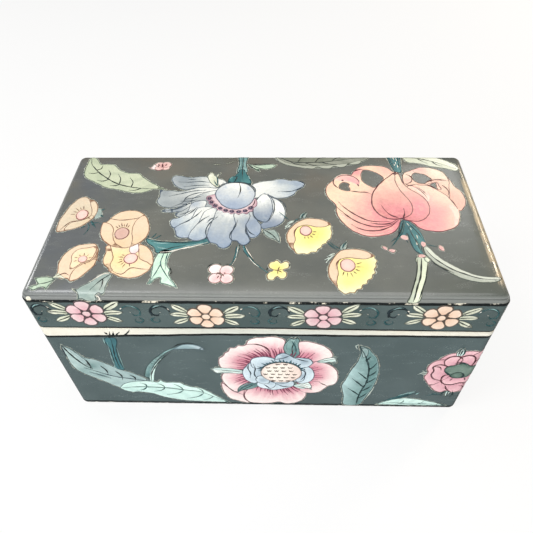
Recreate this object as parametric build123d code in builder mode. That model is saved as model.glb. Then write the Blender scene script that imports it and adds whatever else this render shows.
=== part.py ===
from build123d import *
import os

# A slab-built porcelain box with a lift-off lid, made for papers and keepsakes.
# Two fired pieces: a base with a raised inner lip, and a hollow lid that drops over that lip.
# Frame: millimetres, +Z up, +X along the length, the painted front faces -Y.
# The origin is the middle of the footprint, on the surface that the box stands on.

# Outer form, shared by both pieces
box_length = 254.0
box_depth = 122.0
corner_radius = 5.0

# Heights above the table
seat_height = 89.5
band_height = 24.0

# Base walls and floor
floor_thickness = 7.0
base_inner_radius = 3.5
floor_cove_radius = 3.0
lower_edge_radius = 2.8
rim_edge_radius = 1.2

# The foot: a flat rim round a recessed underside
foot_rim_width = 9.0
foot_recess_depth = 2.5
foot_inner_radius = 5.0
foot_edge_radius = 1.0

# The raised inner lip, and the clearance between it and the lid all round
lip_height = 9.0
lip_thickness = 2.8
lip_edge_radius = 1.0
fit_gap = 0.7

# Lid
skirt_thickness = 4.0
lid_inner_radius = 3.5
skirt_edge_radius = 0.9
arris_ledge = 0.4
shoulder_radius = 4.2
shoulder_upright = 0.3
lid_top_thickness = 6.0
ceiling_cove_radius = 2.5

# Worked out from the values above
base_wall = skirt_thickness + fit_gap + lip_thickness
floor_top = foot_recess_depth + floor_thickness
arris_height = seat_height + band_height
top_height = arris_height + shoulder_upright + shoulder_radius
ceiling_height = top_height - lid_top_thickness
lip_top = seat_height + lip_height
lip_outer_radius = lid_inner_radius - fit_gap

# Faces and edges within this distance count as lying at one height
same_height = 0.01

os.makedirs("parts", exist_ok=True)


def plan(inset, radius):
    """A rounded rectangle, set in from the box's outline by the same amount on every side."""
    return RectangleRounded(box_length - 2 * inset, box_depth - 2 * inset, radius)


def edges_at(part, height):
    """The edges that lie flat at one height."""
    return part.edges().filter_by_position(Axis.Z, height - same_height, height + same_height)


def flat_face_at(part, height):
    """The largest level face at one height."""
    level = part.faces().filter_by(Plane.XY)
    return level.filter_by_position(Axis.Z, height - same_height, height + same_height).sort_by(SortBy.AREA)[-1]


# Base: a solid block up to the seat, its outer edges softened, then the lip stood on it
with BuildPart() as base:
    with BuildSketch(Plane.XY):
        plan(0, corner_radius)
    extrude(amount=seat_height)
    fillet(flat_face_at(base, 0).outer_wire().edges(), radius=lower_edge_radius)
    fillet(flat_face_at(base, seat_height).outer_wire().edges(), radius=rim_edge_radius)

    with BuildSketch(Plane.XY.offset(seat_height)):
        plan(skirt_thickness + fit_gap, lip_outer_radius)
    extrude(amount=lip_height)

    # The inside, with a cove where the walls meet the floor
    with BuildSketch(Plane.XY.offset(floor_top)):
        plan(base_wall, base_inner_radius)
    extrude(amount=lip_top - floor_top, mode=Mode.SUBTRACT)
    fillet(edges_at(base, floor_top), radius=min(floor_cove_radius, base_inner_radius * 0.95))
    fillet(edges_at(base, lip_top), radius=min(lip_edge_radius, lip_thickness * 0.4))

    # The underside, recessed inside the foot rim
    with BuildSketch(Plane.XY):
        plan(foot_rim_width, foot_inner_radius)
    extrude(amount=foot_recess_depth, mode=Mode.SUBTRACT)
    fillet(flat_face_at(base, 0).inner_wires()[0].edges(), radius=foot_edge_radius)

base.part.label = "base"
export_step(base.part, "parts/base.step")


# Lid: a straight band, then a slab set in by a small ledge and rolled over to the flat top
with BuildPart() as lid:
    with BuildSketch(Plane.XY.offset(seat_height)):
        plan(0, corner_radius)
    extrude(amount=band_height)
    with BuildSketch(Plane.XY.offset(arris_height)):
        plan(arris_ledge, corner_radius - arris_ledge)
    extrude(amount=top_height - arris_height)
    fillet(edges_at(lid, top_height), radius=shoulder_radius)

    # The hollow that drops over the lip, coved at the ceiling
    with BuildSketch(Plane.XY.offset(seat_height)):
        plan(skirt_thickness, lid_inner_radius)
    extrude(amount=ceiling_height - seat_height, mode=Mode.SUBTRACT)
    fillet(edges_at(lid, ceiling_height), radius=min(ceiling_cove_radius, lid_inner_radius * 0.95))
    fillet(edges_at(lid, seat_height), radius=min(skirt_edge_radius, skirt_thickness * 0.4))

lid.part.label = "lid"
export_step(lid.part, "parts/lid.step")


for name, piece in (("base", base.part), ("lid", lid.part)):
    size = piece.bounding_box().size
    print(name, f"{size.X:.1f} x {size.Y:.1f} x {size.Z:.1f} mm", f"{piece.volume / 1000:.1f} cm3")
print("base wall", round(base_wall, 2), "overall height", round(top_height, 2))
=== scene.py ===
# %% [markdown]
# # A lidded porcelain box, painted with flowers
# The real box is two pieces of thick porcelain under a dark slate-grey glaze, with flowers laid on it in
# coloured enamels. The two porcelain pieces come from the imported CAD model, and this lesson dresses them: it
# gives the glaze its colour and wear, and adds each painted flower as a thin skin of raised enamel that
# follows the surface below. Lengths are written in millimetres, as a decorator would measure them, and
# turned into metres at the end.

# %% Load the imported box
import math
import random

import bpy
import numpy as np
from mathutils import Matrix, Vector
from mathutils.geometry import delaunay_2d_cdt


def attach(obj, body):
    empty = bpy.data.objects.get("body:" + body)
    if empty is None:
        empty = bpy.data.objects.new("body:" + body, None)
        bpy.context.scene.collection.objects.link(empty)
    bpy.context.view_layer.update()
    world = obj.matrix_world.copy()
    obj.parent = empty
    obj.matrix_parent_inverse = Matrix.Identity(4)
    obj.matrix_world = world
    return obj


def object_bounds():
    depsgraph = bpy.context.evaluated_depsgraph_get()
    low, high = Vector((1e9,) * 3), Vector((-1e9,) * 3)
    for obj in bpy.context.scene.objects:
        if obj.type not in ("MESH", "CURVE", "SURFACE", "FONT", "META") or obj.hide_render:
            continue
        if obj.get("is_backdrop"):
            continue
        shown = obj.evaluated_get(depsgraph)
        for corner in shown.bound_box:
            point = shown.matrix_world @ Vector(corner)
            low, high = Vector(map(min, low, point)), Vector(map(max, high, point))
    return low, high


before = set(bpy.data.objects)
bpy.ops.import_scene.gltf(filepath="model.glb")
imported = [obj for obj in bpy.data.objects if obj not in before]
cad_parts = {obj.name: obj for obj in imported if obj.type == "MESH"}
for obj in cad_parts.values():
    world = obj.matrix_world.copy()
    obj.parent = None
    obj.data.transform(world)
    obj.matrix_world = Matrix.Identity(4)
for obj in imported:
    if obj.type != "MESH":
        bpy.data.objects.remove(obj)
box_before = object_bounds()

scene = bpy.context.scene
base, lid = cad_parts["base"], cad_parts["lid"]
print("box corners in metres:", [round(c, 4) for c in (*box_before[0], *box_before[1])])

# %% [markdown]
# ## The camera
# The photograph looks down on the box from the front, a little right of the middle. The numbers are a plain
# pinhole fit to the box's corners: where the lens stands, how far it is turned, tipped and rolled, and its
# focal length.

# %% Camera
turned, tipped, rolled = math.radians(-2.60), math.radians(48.03), math.radians(-1.55)
ahead = Vector((math.sin(turned) * math.cos(tipped), math.cos(turned) * math.cos(tipped), -math.sin(tipped)))
level_right = Vector((math.cos(turned), -math.sin(turned), 0))
level_up = level_right.cross(ahead)
right = level_right * math.cos(rolled) + level_up * math.sin(rolled)
up = level_up * math.cos(rolled) - level_right * math.sin(rolled)
camera = bpy.data.objects.new("camera", bpy.data.cameras.new("camera"))
camera.data.lens, camera.data.sensor_width = 34.3, 36
camera.data.clip_start = 0.01
looking = Matrix((right, up, -ahead)).transposed().to_4x4()
camera.matrix_world = Matrix.Translation((0.0099, -0.2214, 0.3205)) @ looking
scene.collection.objects.link(camera)
scene.camera = camera
scene.view_settings.view_transform = "Standard"
print("camera stands at", tuple(round(c, 3) for c in camera.matrix_world.translation))

# %% [markdown]
# ## Writing shaders as sums
# A finish is worked out from measures, such as the distance from a petal's edge. The small class below holds
# one socket of a node, so a mask can be written as `1 - rim * 2`, and each sign adds the Math node it stands
# for. Every other kind of node comes from its one method, `node`.

# %% A socket that can be added and multiplied
class Wire:
    """One output socket of a node tree, with the signs of arithmetic."""

    def __init__(self, tree, socket=None):
        self.tree, self.socket = tree, socket

    def node(self, kind, settings=None, sockets=None, out=0):
        """Adds a node: its settings first, then the value or the wire of each socket."""
        made = self.tree.nodes.new(kind)
        for name, value in (settings or {}).items():
            if name == "stops":
                ramp = made.color_ramp.elements
                while len(ramp) < len(value):
                    ramp.new(1.0)
                for stop, (at, colour) in zip(ramp, value):
                    stop.position, stop.color = at, colour
            else:
                setattr(made, name, value)
        for name, value in (sockets or {}).items():
            if isinstance(value, Wire):
                self.tree.links.new(value.socket, made.inputs[name])
            else:
                made.inputs[name].default_value = value
        return Wire(self.tree, made.outputs[out])

    def math(self, operation, *values):
        return self.node("ShaderNodeMath", {"operation": operation}, dict(enumerate(values)))

    def root(self):
        return self.math("SQRT", self)

    def sine(self):
        return self.math("SINE", self)

    def __add__(self, other):
        return self.math("ADD", self, other)

    def __radd__(self, other):
        return self.math("ADD", other, self)

    def __sub__(self, other):
        return self.math("SUBTRACT", self, other)

    def __rsub__(self, other):
        return self.math("SUBTRACT", other, self)

    def __mul__(self, other):
        return self.math("MULTIPLY", self, other)

    def __rmul__(self, other):
        return self.math("MULTIPLY", other, self)

    def __truediv__(self, other):
        return self.math("DIVIDE", self, other)

    def __rtruediv__(self, other):
        return self.math("DIVIDE", other, self)

    def __neg__(self):
        return self.math("MULTIPLY", self, -1)

    def __abs__(self):
        return self.math("ABSOLUTE", self)

    def larger(self, other):
        return self.math("MAXIMUM", self, other)

    def smaller(self, other):
        return self.math("MINIMUM", self, other)

    def step(self, start, end):
        """0 before start, 1 after end, and a soft rise between them. Start may be the larger one."""
        low, high, flat = (start, end, (0, 1)) if start < end else (end, start, (1, 0))
        sockets = {"Value": self, "From Min": low, "From Max": high, "To Min": flat[0], "To Max": flat[1]}
        return self.node("ShaderNodeMapRange", {"interpolation_type": "SMOOTHSTEP"}, sockets)

    def ramp(self, stops):
        return self.node("ShaderNodeValToRGB", {"stops": stops}, {"Fac": self})

    def parts(self):
        """The three numbers of a vector."""
        split = self.node("ShaderNodeSeparateXYZ", {}, {0: self}).socket.node
        return [Wire(self.tree, end) for end in split.outputs]

    def noise(self, size_mm, detail=2.0, rough=0.5, stretch=None):
        """Cloudy variation whose patches are about size_mm across, around 0.5."""
        spot = self
        if stretch:
            spot = self.node("ShaderNodeVectorMath", {"operation": "MULTIPLY"}, {0: self, 1: stretch})
        sockets = {"Vector": spot, "Scale": 1000 / size_mm, "Detail": detail, "Roughness": rough}
        return self.node("ShaderNodeTexNoise", {}, sockets, "Fac")

    def between(self, first, second):
        """The first colour where this mask is 0, and the second where it is 1."""
        return self.node("ShaderNodeMix", {"data_type": "RGBA"}, {0: self, 6: first, 7: second}, 2)

    def blend(self, other, share):
        """This colour with another one laid over it, by the mask share."""
        return share.between(self, other)


def tint(code):
    """A colour written as a paint program does, "#rrggbb", as the light values that a shader needs."""
    shares = [int(code[k:k + 2], 16) / 255 for k in (1, 3, 5)]
    return (*[c / 12.92 if c <= 0.04045 else ((c + 0.055) / 1.055) ** 2.4 for c in shares], 1)


def finish_board(name):
    """A new material and its two ends: a wire to build from, and a Principled shader to plug into."""
    material = bpy.data.materials.new(name)
    material.use_nodes = True
    tree = material.node_tree
    shader = tree.nodes["Principled BSDF"]
    return material, Wire(tree), shader


def plug(board, shader, **ends):
    """Plugs wires or values into the shader's sockets, whose names are written with _ for a space."""
    for name, value in ends.items():
        end = shader.inputs[name.replace("_", " ")]
        if isinstance(value, Wire):
            board.tree.links.new(value.socket, end)
        else:
            end.default_value = value


print("shader helpers ready")

# %% [markdown]
# ## The glaze on the two porcelain pieces
# Inside and underneath, the porcelain is white under a clear glaze, and it is bare and biscuit-coloured on
# the rims where lid and base meet and on the foot. Outside it carries a thick slate-grey glaze that was
# brushed on, so it is a little streaky, deeper and more teal on the walls and greyer on the top. Where the
# glaze ends it gathers in a dark line, and along the arris of the lid it has worn and chipped, so that cream
# body shows through. All of this depends only on where a point is on the box, so the masks are made from
# object coordinates in millimetres.

# %% Measures that both glazes share
HALF_LENGTH, HALF_DEPTH, TOP = [round(c * 1000, 1) for c in box_before[1]]
WALL, CORNER, SHOULDER, ARRIS = 7.5, 5.0, 4.2, 113.6
STRAIGHT_X, STRAIGHT_Y = HALF_LENGTH - CORNER, HALF_DEPTH - CORNER


def place_on_box(board):
    """The point's own coordinates as a vector in metres, and as three numbers in millimetres."""
    spot = board.node("ShaderNodeTexCoord", {}, {}, "Object")
    x, y, z = spot.parts()
    return spot, x * 1000, y * 1000, z * 1000


def outside_facing(board, x, y, z):
    """Which way the outside faces. The mesh has a few flats round each corner and over the lid's shoulder, so
    the true curves are worked out here: a corner turns about its axis, the shoulder is a quarter circle."""
    out_x = x - x.larger(-STRAIGHT_X).smaller(STRAIGHT_X)
    out_y = y - y.larger(-STRAIGHT_Y).smaller(STRAIGHT_Y)
    reach = (out_x * out_x + out_y * out_y).root().larger(0.001)
    rise = ((z - (TOP - SHOULDER)) / SHOULDER).larger(0).smaller(1)
    level = (1 - rise * rise).root()
    bent = {0: out_x / reach * level, 1: out_y / reach * level, 2: rise}
    facing = board.node("ShaderNodeCombineXYZ", {}, bent)
    mesh_facing = board.node("ShaderNodeNewGeometry", {}, {}, "Normal")
    upright = 1 - abs(mesh_facing.parts()[2]).step(0.8, 0.9)
    outside = (reach.step(4.7, 4.8) * z.step(2.8, 3.2) * upright).larger(z.step(ARRIS, ARRIS + 0.1))
    return board.node("ShaderNodeMix", {"data_type": "VECTOR"}, {0: outside, 4: mesh_facing, 5: facing}, 1)


def glaze_bump(board, spot, facing, fall=0.0):
    """The slow waves and pinholes of a brushed glaze, on a surface that falls away by so many millimetres."""
    waves = spot.noise(9, 2) * 0.06 + spot.noise(2.2, 2) * 0.018 + spot.noise(0.5, 1) * 0.009
    sockets = {"Strength": 1.0, "Distance": 0.001, "Height": waves - fall, "Normal": facing}
    return board.node("ShaderNodeBump", {}, sockets)


def grained(colour, spot):
    """The colour with the fine grain of a fired glaze."""
    grain = 1 + (spot.noise(0.6, 3, 0.7) - 0.5) * 0.2
    return colour.node("ShaderNodeVectorMath", {"operation": "SCALE"}, {0: colour, "Scale": grain})


GLAZE_IOR = 1.65
SLATE_WALL = tint("#586768")
SLATE_TOP = tint("#6d6f69")
SLATE_DEEP = tint("#384546")
CREAM = tint("#e6e1cf")
BISCUIT = tint("#d6cbb2")
WHITE_GLAZE = tint("#dee2de")


def bare_colours(spot, cloud):
    """The cream of a worn edge, the white clear glaze with a few pinholes, and the matt biscuit of a rim."""
    cream = spot.noise(5, 3).between(CREAM, tint("#f3f0e4"))
    white = cloud.between(WHITE_GLAZE, tint("#e8e9e0"))
    white = white.blend(tint("#787060"), spot.noise(1.6, 1).step(0.8, 0.84) * 0.8)
    biscuit = spot.noise(1.2, 3).between(BISCUIT, tint("#c4b69c"))
    return cream, white, biscuit


# %% The base's glaze
def make_base_glaze():
    material, board, shader = finish_board("base_glaze")
    spot, x, y, z = place_on_box(board)
    cloud = spot.noise(26, 3)
    brush = spot.noise(7, 3, 0.6, (0.35, 0.35, 1.0))
    fine = spot.noise(0.9, 2)
    cream, white, biscuit = bare_colours(spot, cloud)
    slate = cloud.step(0.3, 0.7).between(SLATE_WALL, tint("#505f60"))
    slate = slate.blend(tint("#627273"), brush.step(0.5, 0.78) * 0.45)
    slate = slate.blend(SLATE_DEEP, fine.step(0.62, 0.8) * 0.25)
    # the bare strip under the lid is wider towards the left, and its edge wavers with the brush
    edge = 85.9 - ((-x - 18).larger(0) * 0.038).smaller(3.9) + (spot.noise(16, 2) - 0.5) * 1.3
    rise = z - edge
    bare = rise.step(0.0, 0.25)
    line = (rise + (spot.noise(7, 2) - 0.5) * 1.4).step(-2.0, -1.5) * (1 - bare)
    scuff = (spot.noise(3.2, 3, 0.65) + (spot.noise(0.8, 2) - 0.5) * 0.3).step(0.5, 0.62)
    cream = cream.blend(tint("#ccd2ca"), abs(x).step(90, 20) * 0.7)
    cream = cream.blend(tint("#787668"), spot.noise(1.3, 3, 0.7, (0.25, 0.25, 1.4)).step(0.6, 0.75) * 0.55)
    colour = slate.blend(tint("#080e10"), line * 0.97)
    colour = colour.blend(cream, bare)
    # the foot edge: glaze wiped off in a ragged line, cream body worn bare under it
    low = z + (spot.noise(6, 3) - 0.5) * 1.6
    colour = colour.blend(tint("#10181a"), low.step(5.0, 4.2) * 0.85)
    colour = colour.blend(cream, low.step(3.0, 2.2) * scuff.larger(low.step(1.6, 1.0)))
    corner = ((abs(x) - STRAIGHT_X).larger(0) * (abs(y) - STRAIGHT_Y).larger(0)).step(9, 17)
    colour = colour.blend(cream, corner * spot.noise(2.2, 3, 0.7).step(0.62, 0.7) * 0.8)
    wide, deep = HALF_LENGTH - WALL, HALF_DEPTH - WALL
    inside = abs(x).step(wide + 0.25, wide + 0.1) * abs(y).step(deep + 0.25, deep + 0.1) * z.step(4, 6)
    rim = (abs(x).step(126.2, 125.9) * abs(y).step(60.2, 59.9) * z.step(88.6, 88.9)) * (1 - inside)
    colour = colour.blend(white, inside)
    colour = colour.blend(biscuit, rim)
    below = z.step(2.7, 2.4) * abs(x).step(125.6, 125.2) * abs(y).step(59.6, 59.2)
    ring = z.step(0.35, 0.1)
    colour = colour.blend(white, below * (1 - ring))
    colour = colour.blend(tint("#cdbea2"), ring)
    matt = rim.larger(ring).larger(bare * 0.5 * (1 - inside))
    rough = 0.2 + fine * 0.06 + brush * 0.06 + matt * 0.35
    relief = glaze_bump(board, spot, outside_facing(board, x, y, z))
    plug(board, shader, Base_Color=grained(colour, spot), Roughness=rough, Normal=relief, IOR=GLAZE_IOR)
    return material


base.material_slots[0].material = make_base_glaze()
print("base glaze on", base.name)


# %% The lid's glaze
def make_lid_glaze():
    material, board, shader = finish_board("lid_glaze")
    spot, x, y, z = place_on_box(board)
    cloud = spot.noise(24, 3)
    brush = spot.noise(6, 3, 0.6, (0.35, 1.0, 1.0))
    fine = spot.noise(0.9, 2)
    cream, white, biscuit = bare_colours(spot, cloud)
    top = cloud.step(0.3, 0.7).between(SLATE_TOP, tint("#626561"))
    drift = spot.noise(52, 4, 0.62)
    top = top.blend(tint("#5d6166"), x.step(-60, -118) * drift.step(0.36, 0.6) * 0.8)
    top = top.blend(tint("#726c61"), (y + 10).step(-20, 50) * spot.noise(40, 3).step(0.42, 0.66) * 0.6)
    top = top.blend(tint("#565b54"), x.step(70, 116) * 0.75)
    top = top.blend(tint("#7e807c"), (brush.step(0.5, 0.8) + drift.step(0.55, 0.75)) * 0.3)
    # a paler grey over the shoulder is painted sheen; on the right the glaze is rubbed to the tan under it
    shoulder = z.step(117.9, 117.0) * z.step(113.6, 113.9)
    top = top.blend(tint("#8c8f8c"), shoulder * 0.6)
    # the tan band is worn glaze and partly a painted warm highlight along the right shoulder
    worn = x.step(120.8, 122.0) * x.step(126.2, 125.4) * abs(y + 8).step(46, 38)
    worn = worn * spot.noise(4, 3, 0.7, (1.0, 0.4, 1.0)).step(0.36, 0.54)
    top = top.blend(tint("#b2a080"), worn * 0.75)
    wall = cloud.step(0.3, 0.7).between(tint("#566565"), tint("#4c5b5a"))
    wall = wall.blend(tint("#62706e"), brush.step(0.5, 0.8) * 0.4)
    colour = wall.blend(top, z.step(112.6, 114.4))
    colour = colour.blend(SLATE_DEEP, fine.step(0.62, 0.8) * 0.22)
    # the arris: glaze pulled into a dark line, chipped to cream in places
    level = z - ARRIS + (spot.noise(5, 2) - 0.5) * 0.7
    colour = colour.blend(tint("#0c1214"), abs(level).step(1.1, 0.7) * 0.95)
    chipped = (spot.noise(5, 4, 0.7, (0.45, 0.45, 1)) + (spot.noise(1.2, 2) - 0.5) * 0.3).step(0.56, 0.62)
    colour = colour.blend(tint("#e2dcca"), abs(level - 0.35).step(0.75, 0.4) * chipped)
    # one larger chip at the front left corner
    away_x, away_y, away_z = x + 122, y + 60.2, z - 115
    chip = away_x * away_x + away_y * away_y + away_z * away_z + spot.noise(1.2, 2) * 4
    colour = colour.blend(tint("#e8e2ce"), chip.step(4.2, 3.2))
    # the lower edge: a dark line, then a narrow cream edge
    edge = 90.9 - abs(x) * 0.012 + (spot.noise(14, 2) - 0.5) * 1.0
    rise = z - edge
    bare = rise.step(0.15, -0.15)
    line = rise.step(1.7, 1.1) * (1 - bare)
    colour = colour.blend(tint("#080c0e"), line * 0.97)
    colour = colour.blend(cream, bare)
    inside = abs(x).step(126.0, 125.7) * abs(y).step(60.0, 59.7) * z.step(113.0, 112.6)
    within = abs(x).step(126.5, 126.2).smaller(abs(y).step(60.5, 60.2))
    rim = z.step(90.6, 90.2) * within.larger(z.step(89.75, 89.6))
    colour = colour.blend(white, inside)
    colour = colour.blend(biscuit, rim)
    # the top is a little pillowed: it starts to fall before the shoulder
    past_x, past_y = (abs(x) - 115).larger(0), (abs(y) - 47).larger(0)
    fall = (past_x * past_x + past_y * past_y) * 0.009 * z.step(116, 117)
    rough = 0.2 + fine * 0.06 + brush * 0.06 + rim * 0.35 + shoulder * 0.12 + worn * 0.2
    relief = glaze_bump(board, spot, outside_facing(board, x, y, z), fall)
    plug(board, shader, Base_Color=grained(colour, spot), Roughness=rough, Normal=relief, IOR=GLAZE_IOR)
    return material


lid.material_slots[0].material = make_lid_glaze()
print("lid glaze on", lid.name)

# %% [markdown]
# ## Drawing on the box
# A decorator draws on a curved wall as on a sheet of paper laid over it. There are two such sheets here. One
# lies on the lid: across, u, and towards the back, v, and it bends down over the rounded shoulder. The other
# goes round the walls: s along the wall from the middle of the front, to the right as seen from outside, and
# the height z. Each turns a drawn point, and how far the enamel stands above the glaze, into a place on the
# box.

# %% The two sheets that the flowers are drawn on
LEDGE = 0.4
STRAIGHT = np.array((STRAIGHT_X, STRAIGHT_Y))


def on_lid(drawn, lift):
    """Places on the lid of drawn points (u, v), lift mm above the glaze."""
    size = np.abs(drawn)
    past = np.maximum(size - STRAIGHT, 0)
    far = np.hypot(*past.T)
    out = np.sign(drawn) * past / np.maximum(far, 1e-9)[:, None]
    over = np.maximum(far - LEDGE, 0)
    bent = np.minimum(over / SHOULDER, math.pi / 2)
    reach = np.minimum(far, LEDGE) + (SHOULDER + lift) * np.sin(bent)
    height = TOP - SHOULDER + (SHOULDER + lift) * np.cos(bent) - np.maximum(over - SHOULDER * math.pi / 2, 0)
    flat = np.sign(drawn) * np.minimum(size, STRAIGHT) + out * reach[:, None]
    return np.column_stack((flat, height))


ROUND_TRIP = 4 * (STRAIGHT_X + STRAIGHT_Y) + 2 * math.pi * CORNER


def wall_stations():
    """The plan of the wall as stations: how far along, where, and which way is out."""
    rows, along = [(0.0, 0.0, -HALF_DEPTH, 0.0, -1.0)], STRAIGHT_X
    for k, corner in enumerate(((1, -1), (1, 1), (-1, 1), (-1, -1))):
        middle = STRAIGHT * corner
        for j in range(31):
            a = math.radians(-90 + 90 * k + 3 * j)
            out = np.array((math.cos(a), math.sin(a)))
            rows.append((along + math.radians(3 * j) * CORNER, *(middle + CORNER * out), *out))
        along += math.pi / 2 * CORNER + 2 * (STRAIGHT_X if k % 2 else STRAIGHT_Y)
    return np.array(rows + [(ROUND_TRIP, 0.0, -HALF_DEPTH, 0.0, -1.0)])


STATIONS = wall_stations()
CORNER_SHARE = np.abs(STATIONS[:, 3] * STATIONS[:, 4])


def on_wall(drawn, lift):
    """Places on the walls of drawn points (s, z), lift mm above the glaze."""
    s = np.mod(drawn[:, 0], ROUND_TRIP)
    x, y, nx, ny = (np.interp(s, STATIONS[:, 0], STATIONS[:, k]) for k in range(1, 5))
    return np.column_stack((x + nx * lift, y + ny * lift, drawn[:, 1]))


print("round trip along the wall:", round(ROUND_TRIP, 1), "mm")

# %% [markdown]
# ## From a few picked points to a patch of enamel
# Each petal or leaf is picked off as a handful of points and joined by a flowing line, sharp only where the
# petal has a tip. The points are written as a text, two numbers each, in millimetres on the sheet, and a !
# marks a tip. The patch is then filled with small triangles, which stay flat on the sheet and bend with it
# over the shoulder. Its edge starts just under the glaze and rises within a quarter of a millimetre, as
# fired enamel does.

# %% A flowing line, and what is inside it
def picked(text):
    """Points written as "x y, x y", in millimetres. A ! behind one adds a third number: a sharp tip."""
    points = []
    for place in text.split(","):
        x, y = place.rstrip("!").split()
        points.append((float(x), float(y), 1) if place.endswith("!") else (float(x), float(y)))
    return points


def flowing(points, closed=True, step=0.9):
    """A smooth line through points. A point with a third number stays sharp."""
    xy = np.array([p[:2] for p in points], float)
    sharp = [len(p) > 2 for p in points]
    count = len(xy)
    if not closed:
        sharp[0] = sharp[-1] = True

    def heading(i):
        back, on = xy[i] - xy[i - 1], xy[(i + 1) % count] - xy[i]
        was, comes = max(np.hypot(*back), 1e-6), max(np.hypot(*on), 1e-6)
        return (back / was * comes + on / comes * was) / (was + comes)

    line = []
    for i in range(count if closed else count - 1):
        a, b = xy[i], xy[(i + 1) % count]
        span = max(np.hypot(*(b - a)), 1e-6)
        start = b - a if sharp[i] else heading(i) * span
        end = b - a if sharp[(i + 1) % count] else heading((i + 1) % count) * span
        for t in np.arange(0, 1, 1 / max(1, round(span / step))):
            leave = a * (2 * t**3 - 3 * t**2 + 1) + start * (t**3 - 2 * t**2 + t)
            line.append(leave + b * (3 * t**2 - 2 * t**3) + end * (t**3 - t**2))
    if not closed:
        line.append(xy[-1])
    return np.array(line)


def from_line(points, line, closed=True):
    """How far each point is from a line, how far along it is the nearest place, and on which side it lies."""
    a = line if closed else line[:-1]
    b = np.roll(line, -1, 0) if closed else line[1:]
    run = b - a
    length = np.maximum(np.hypot(*run.T), 1e-9)
    start = np.concatenate(([0], np.cumsum(length)[:-1]))
    away = points[:, None] - a
    share = np.clip((away * run).sum(2) / length**2, 0, 1)
    gap = away - share[..., None] * run
    dist = np.hypot(gap[..., 0], gap[..., 1])
    near = dist.argmin(1)
    rows = np.arange(len(points))
    side = np.sign(run[near, 0] * gap[rows, near, 1] - run[near, 1] * gap[rows, near, 0])
    return dist[rows, near], (start + share * length)[rows, near] / length.sum(), side


def inside(points, loops):
    """True for the points that lie inside the first loop and outside its holes."""
    odd = np.zeros(len(points), bool)
    x, y = points[:, :1], points[:, 1:]
    for loop in loops:
        a, b = loop, np.roll(loop, -1, 0)
        crosses = (a[:, 1] > y) != (b[:, 1] > y)
        rise = np.where(a[:, 1] == b[:, 1], 1, b[:, 1] - a[:, 1])
        at = a[:, 0] + (y - a[:, 1]) * (b[:, 0] - a[:, 0]) / rise
        odd ^= (crosses & (x < at)).sum(1) % 2 == 1
    return odd


def leftward(line, closed=True):
    """At each point of a line, which way is left of it."""
    way = (np.roll(line, -1, 0) - np.roll(line, 1, 0)) if closed else np.gradient(line, axis=0)
    way /= np.maximum(np.hypot(*way.T), 1e-9)[:, None]
    return np.column_stack((-way[:, 1], way[:, 0]))


def inward(loop):
    """At each point of a loop, which way its inside lies."""
    area = (loop[:, 0] * np.roll(loop[:, 1], -1) - loop[:, 1] * np.roll(loop[:, 0], -1)).sum()
    return leftward(loop) * math.copysign(1, area)


def filled(loops, inner):
    """Triangles that fill the loops, with the inner points as extra corners."""
    points, edges = [], []
    for loop in loops:
        edges += [(len(points) + i, len(points) + (i + 1) % len(loop)) for i in range(len(loop))]
        points += list(loop)
    made = delaunay_2d_cdt([Vector(p) for p in [*points, *inner]], edges, [], 0, 1e-5)
    xy = np.array([tuple(v) for v in made[0]])
    faces = np.array([f for f in made[2] if len(f) == 3])
    faces = faces[inside(xy[faces].mean(1), loops)]
    a, b, c = (xy[faces[:, k]] for k in range(3))
    turn = (b - a)[:, 0] * (c - a)[:, 1] - (b - a)[:, 1] * (c - a)[:, 0]
    faces[turn < 0] = faces[turn < 0][:, ::-1]
    return xy, faces[np.abs(turn) > 1e-9]


# %% [markdown]
# ## A motif: patches and brush strokes gathered into one piece
# Everything that belongs to one flower is kept together as one mesh. Besides its shape, each patch remembers
# what the brush did there: how far a point is from the patch's edge, how far it is from the root of the
# petal, at which angle, and on which side of the midrib. The finishes read these two records, named "brush"
# and "petal", and a third, "wash", that says how strong the second colour is there.

# %% Motif
hand = random.Random(41)


def oval(x, y, wide, high=None, turn=0, corners=14):
    """The outline of a round or oval spot."""
    high, c, s = high or wide, math.cos(math.radians(turn)), math.sin(math.radians(turn))
    around = [2 * math.pi * k / corners for k in range(corners)]
    spots = [(wide * math.cos(a), high * math.sin(a)) for a in around]
    return [(x + a * c - b * s, y + a * s + b * c) for a, b in spots]


def middle_of(outline):
    """The mean of an outline's points."""
    return tuple(np.mean([p[:2] for p in picked(outline)], 0))


def spine_through(outline, heart, start, end):
    """A spine from a flower's heart through the middle of a petal. Start and end are shares of that way."""
    heart, middle = np.array(heart), np.array(middle_of(outline))
    return [tuple(heart + (middle - heart) * share) for share in (start, end)]


def waver(count):
    """Numbers round 0 that rise and fall softly along an edge of so many steps, and meet at its ends."""
    way = np.linspace(0, 2 * math.pi, count, endpoint=False)
    waves = [(max(1, round(count * share)), hand.uniform(0, 6.3)) for share in (0.04, 0.09, 0.17, 0.3)]
    return sum(np.sin(way * turns + start) for turns, start in waves) / 2.6


def tremble(loop):
    """The edge as an unsteady hand draws it, a tenth of a millimetre in and out."""
    return loop + leftward(loop) * waver(len(loop))[:, None] * 0.1


def spread(low, across, upward, step_x, step_y):
    """Points spread over a rectangle in even steps."""
    x, y = np.meshgrid(np.arange(low[0], low[0] + across, step_x), np.arange(low[1], low[1] + upward, step_y))
    return np.column_stack((x.ravel(), y.ravel()))


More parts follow.
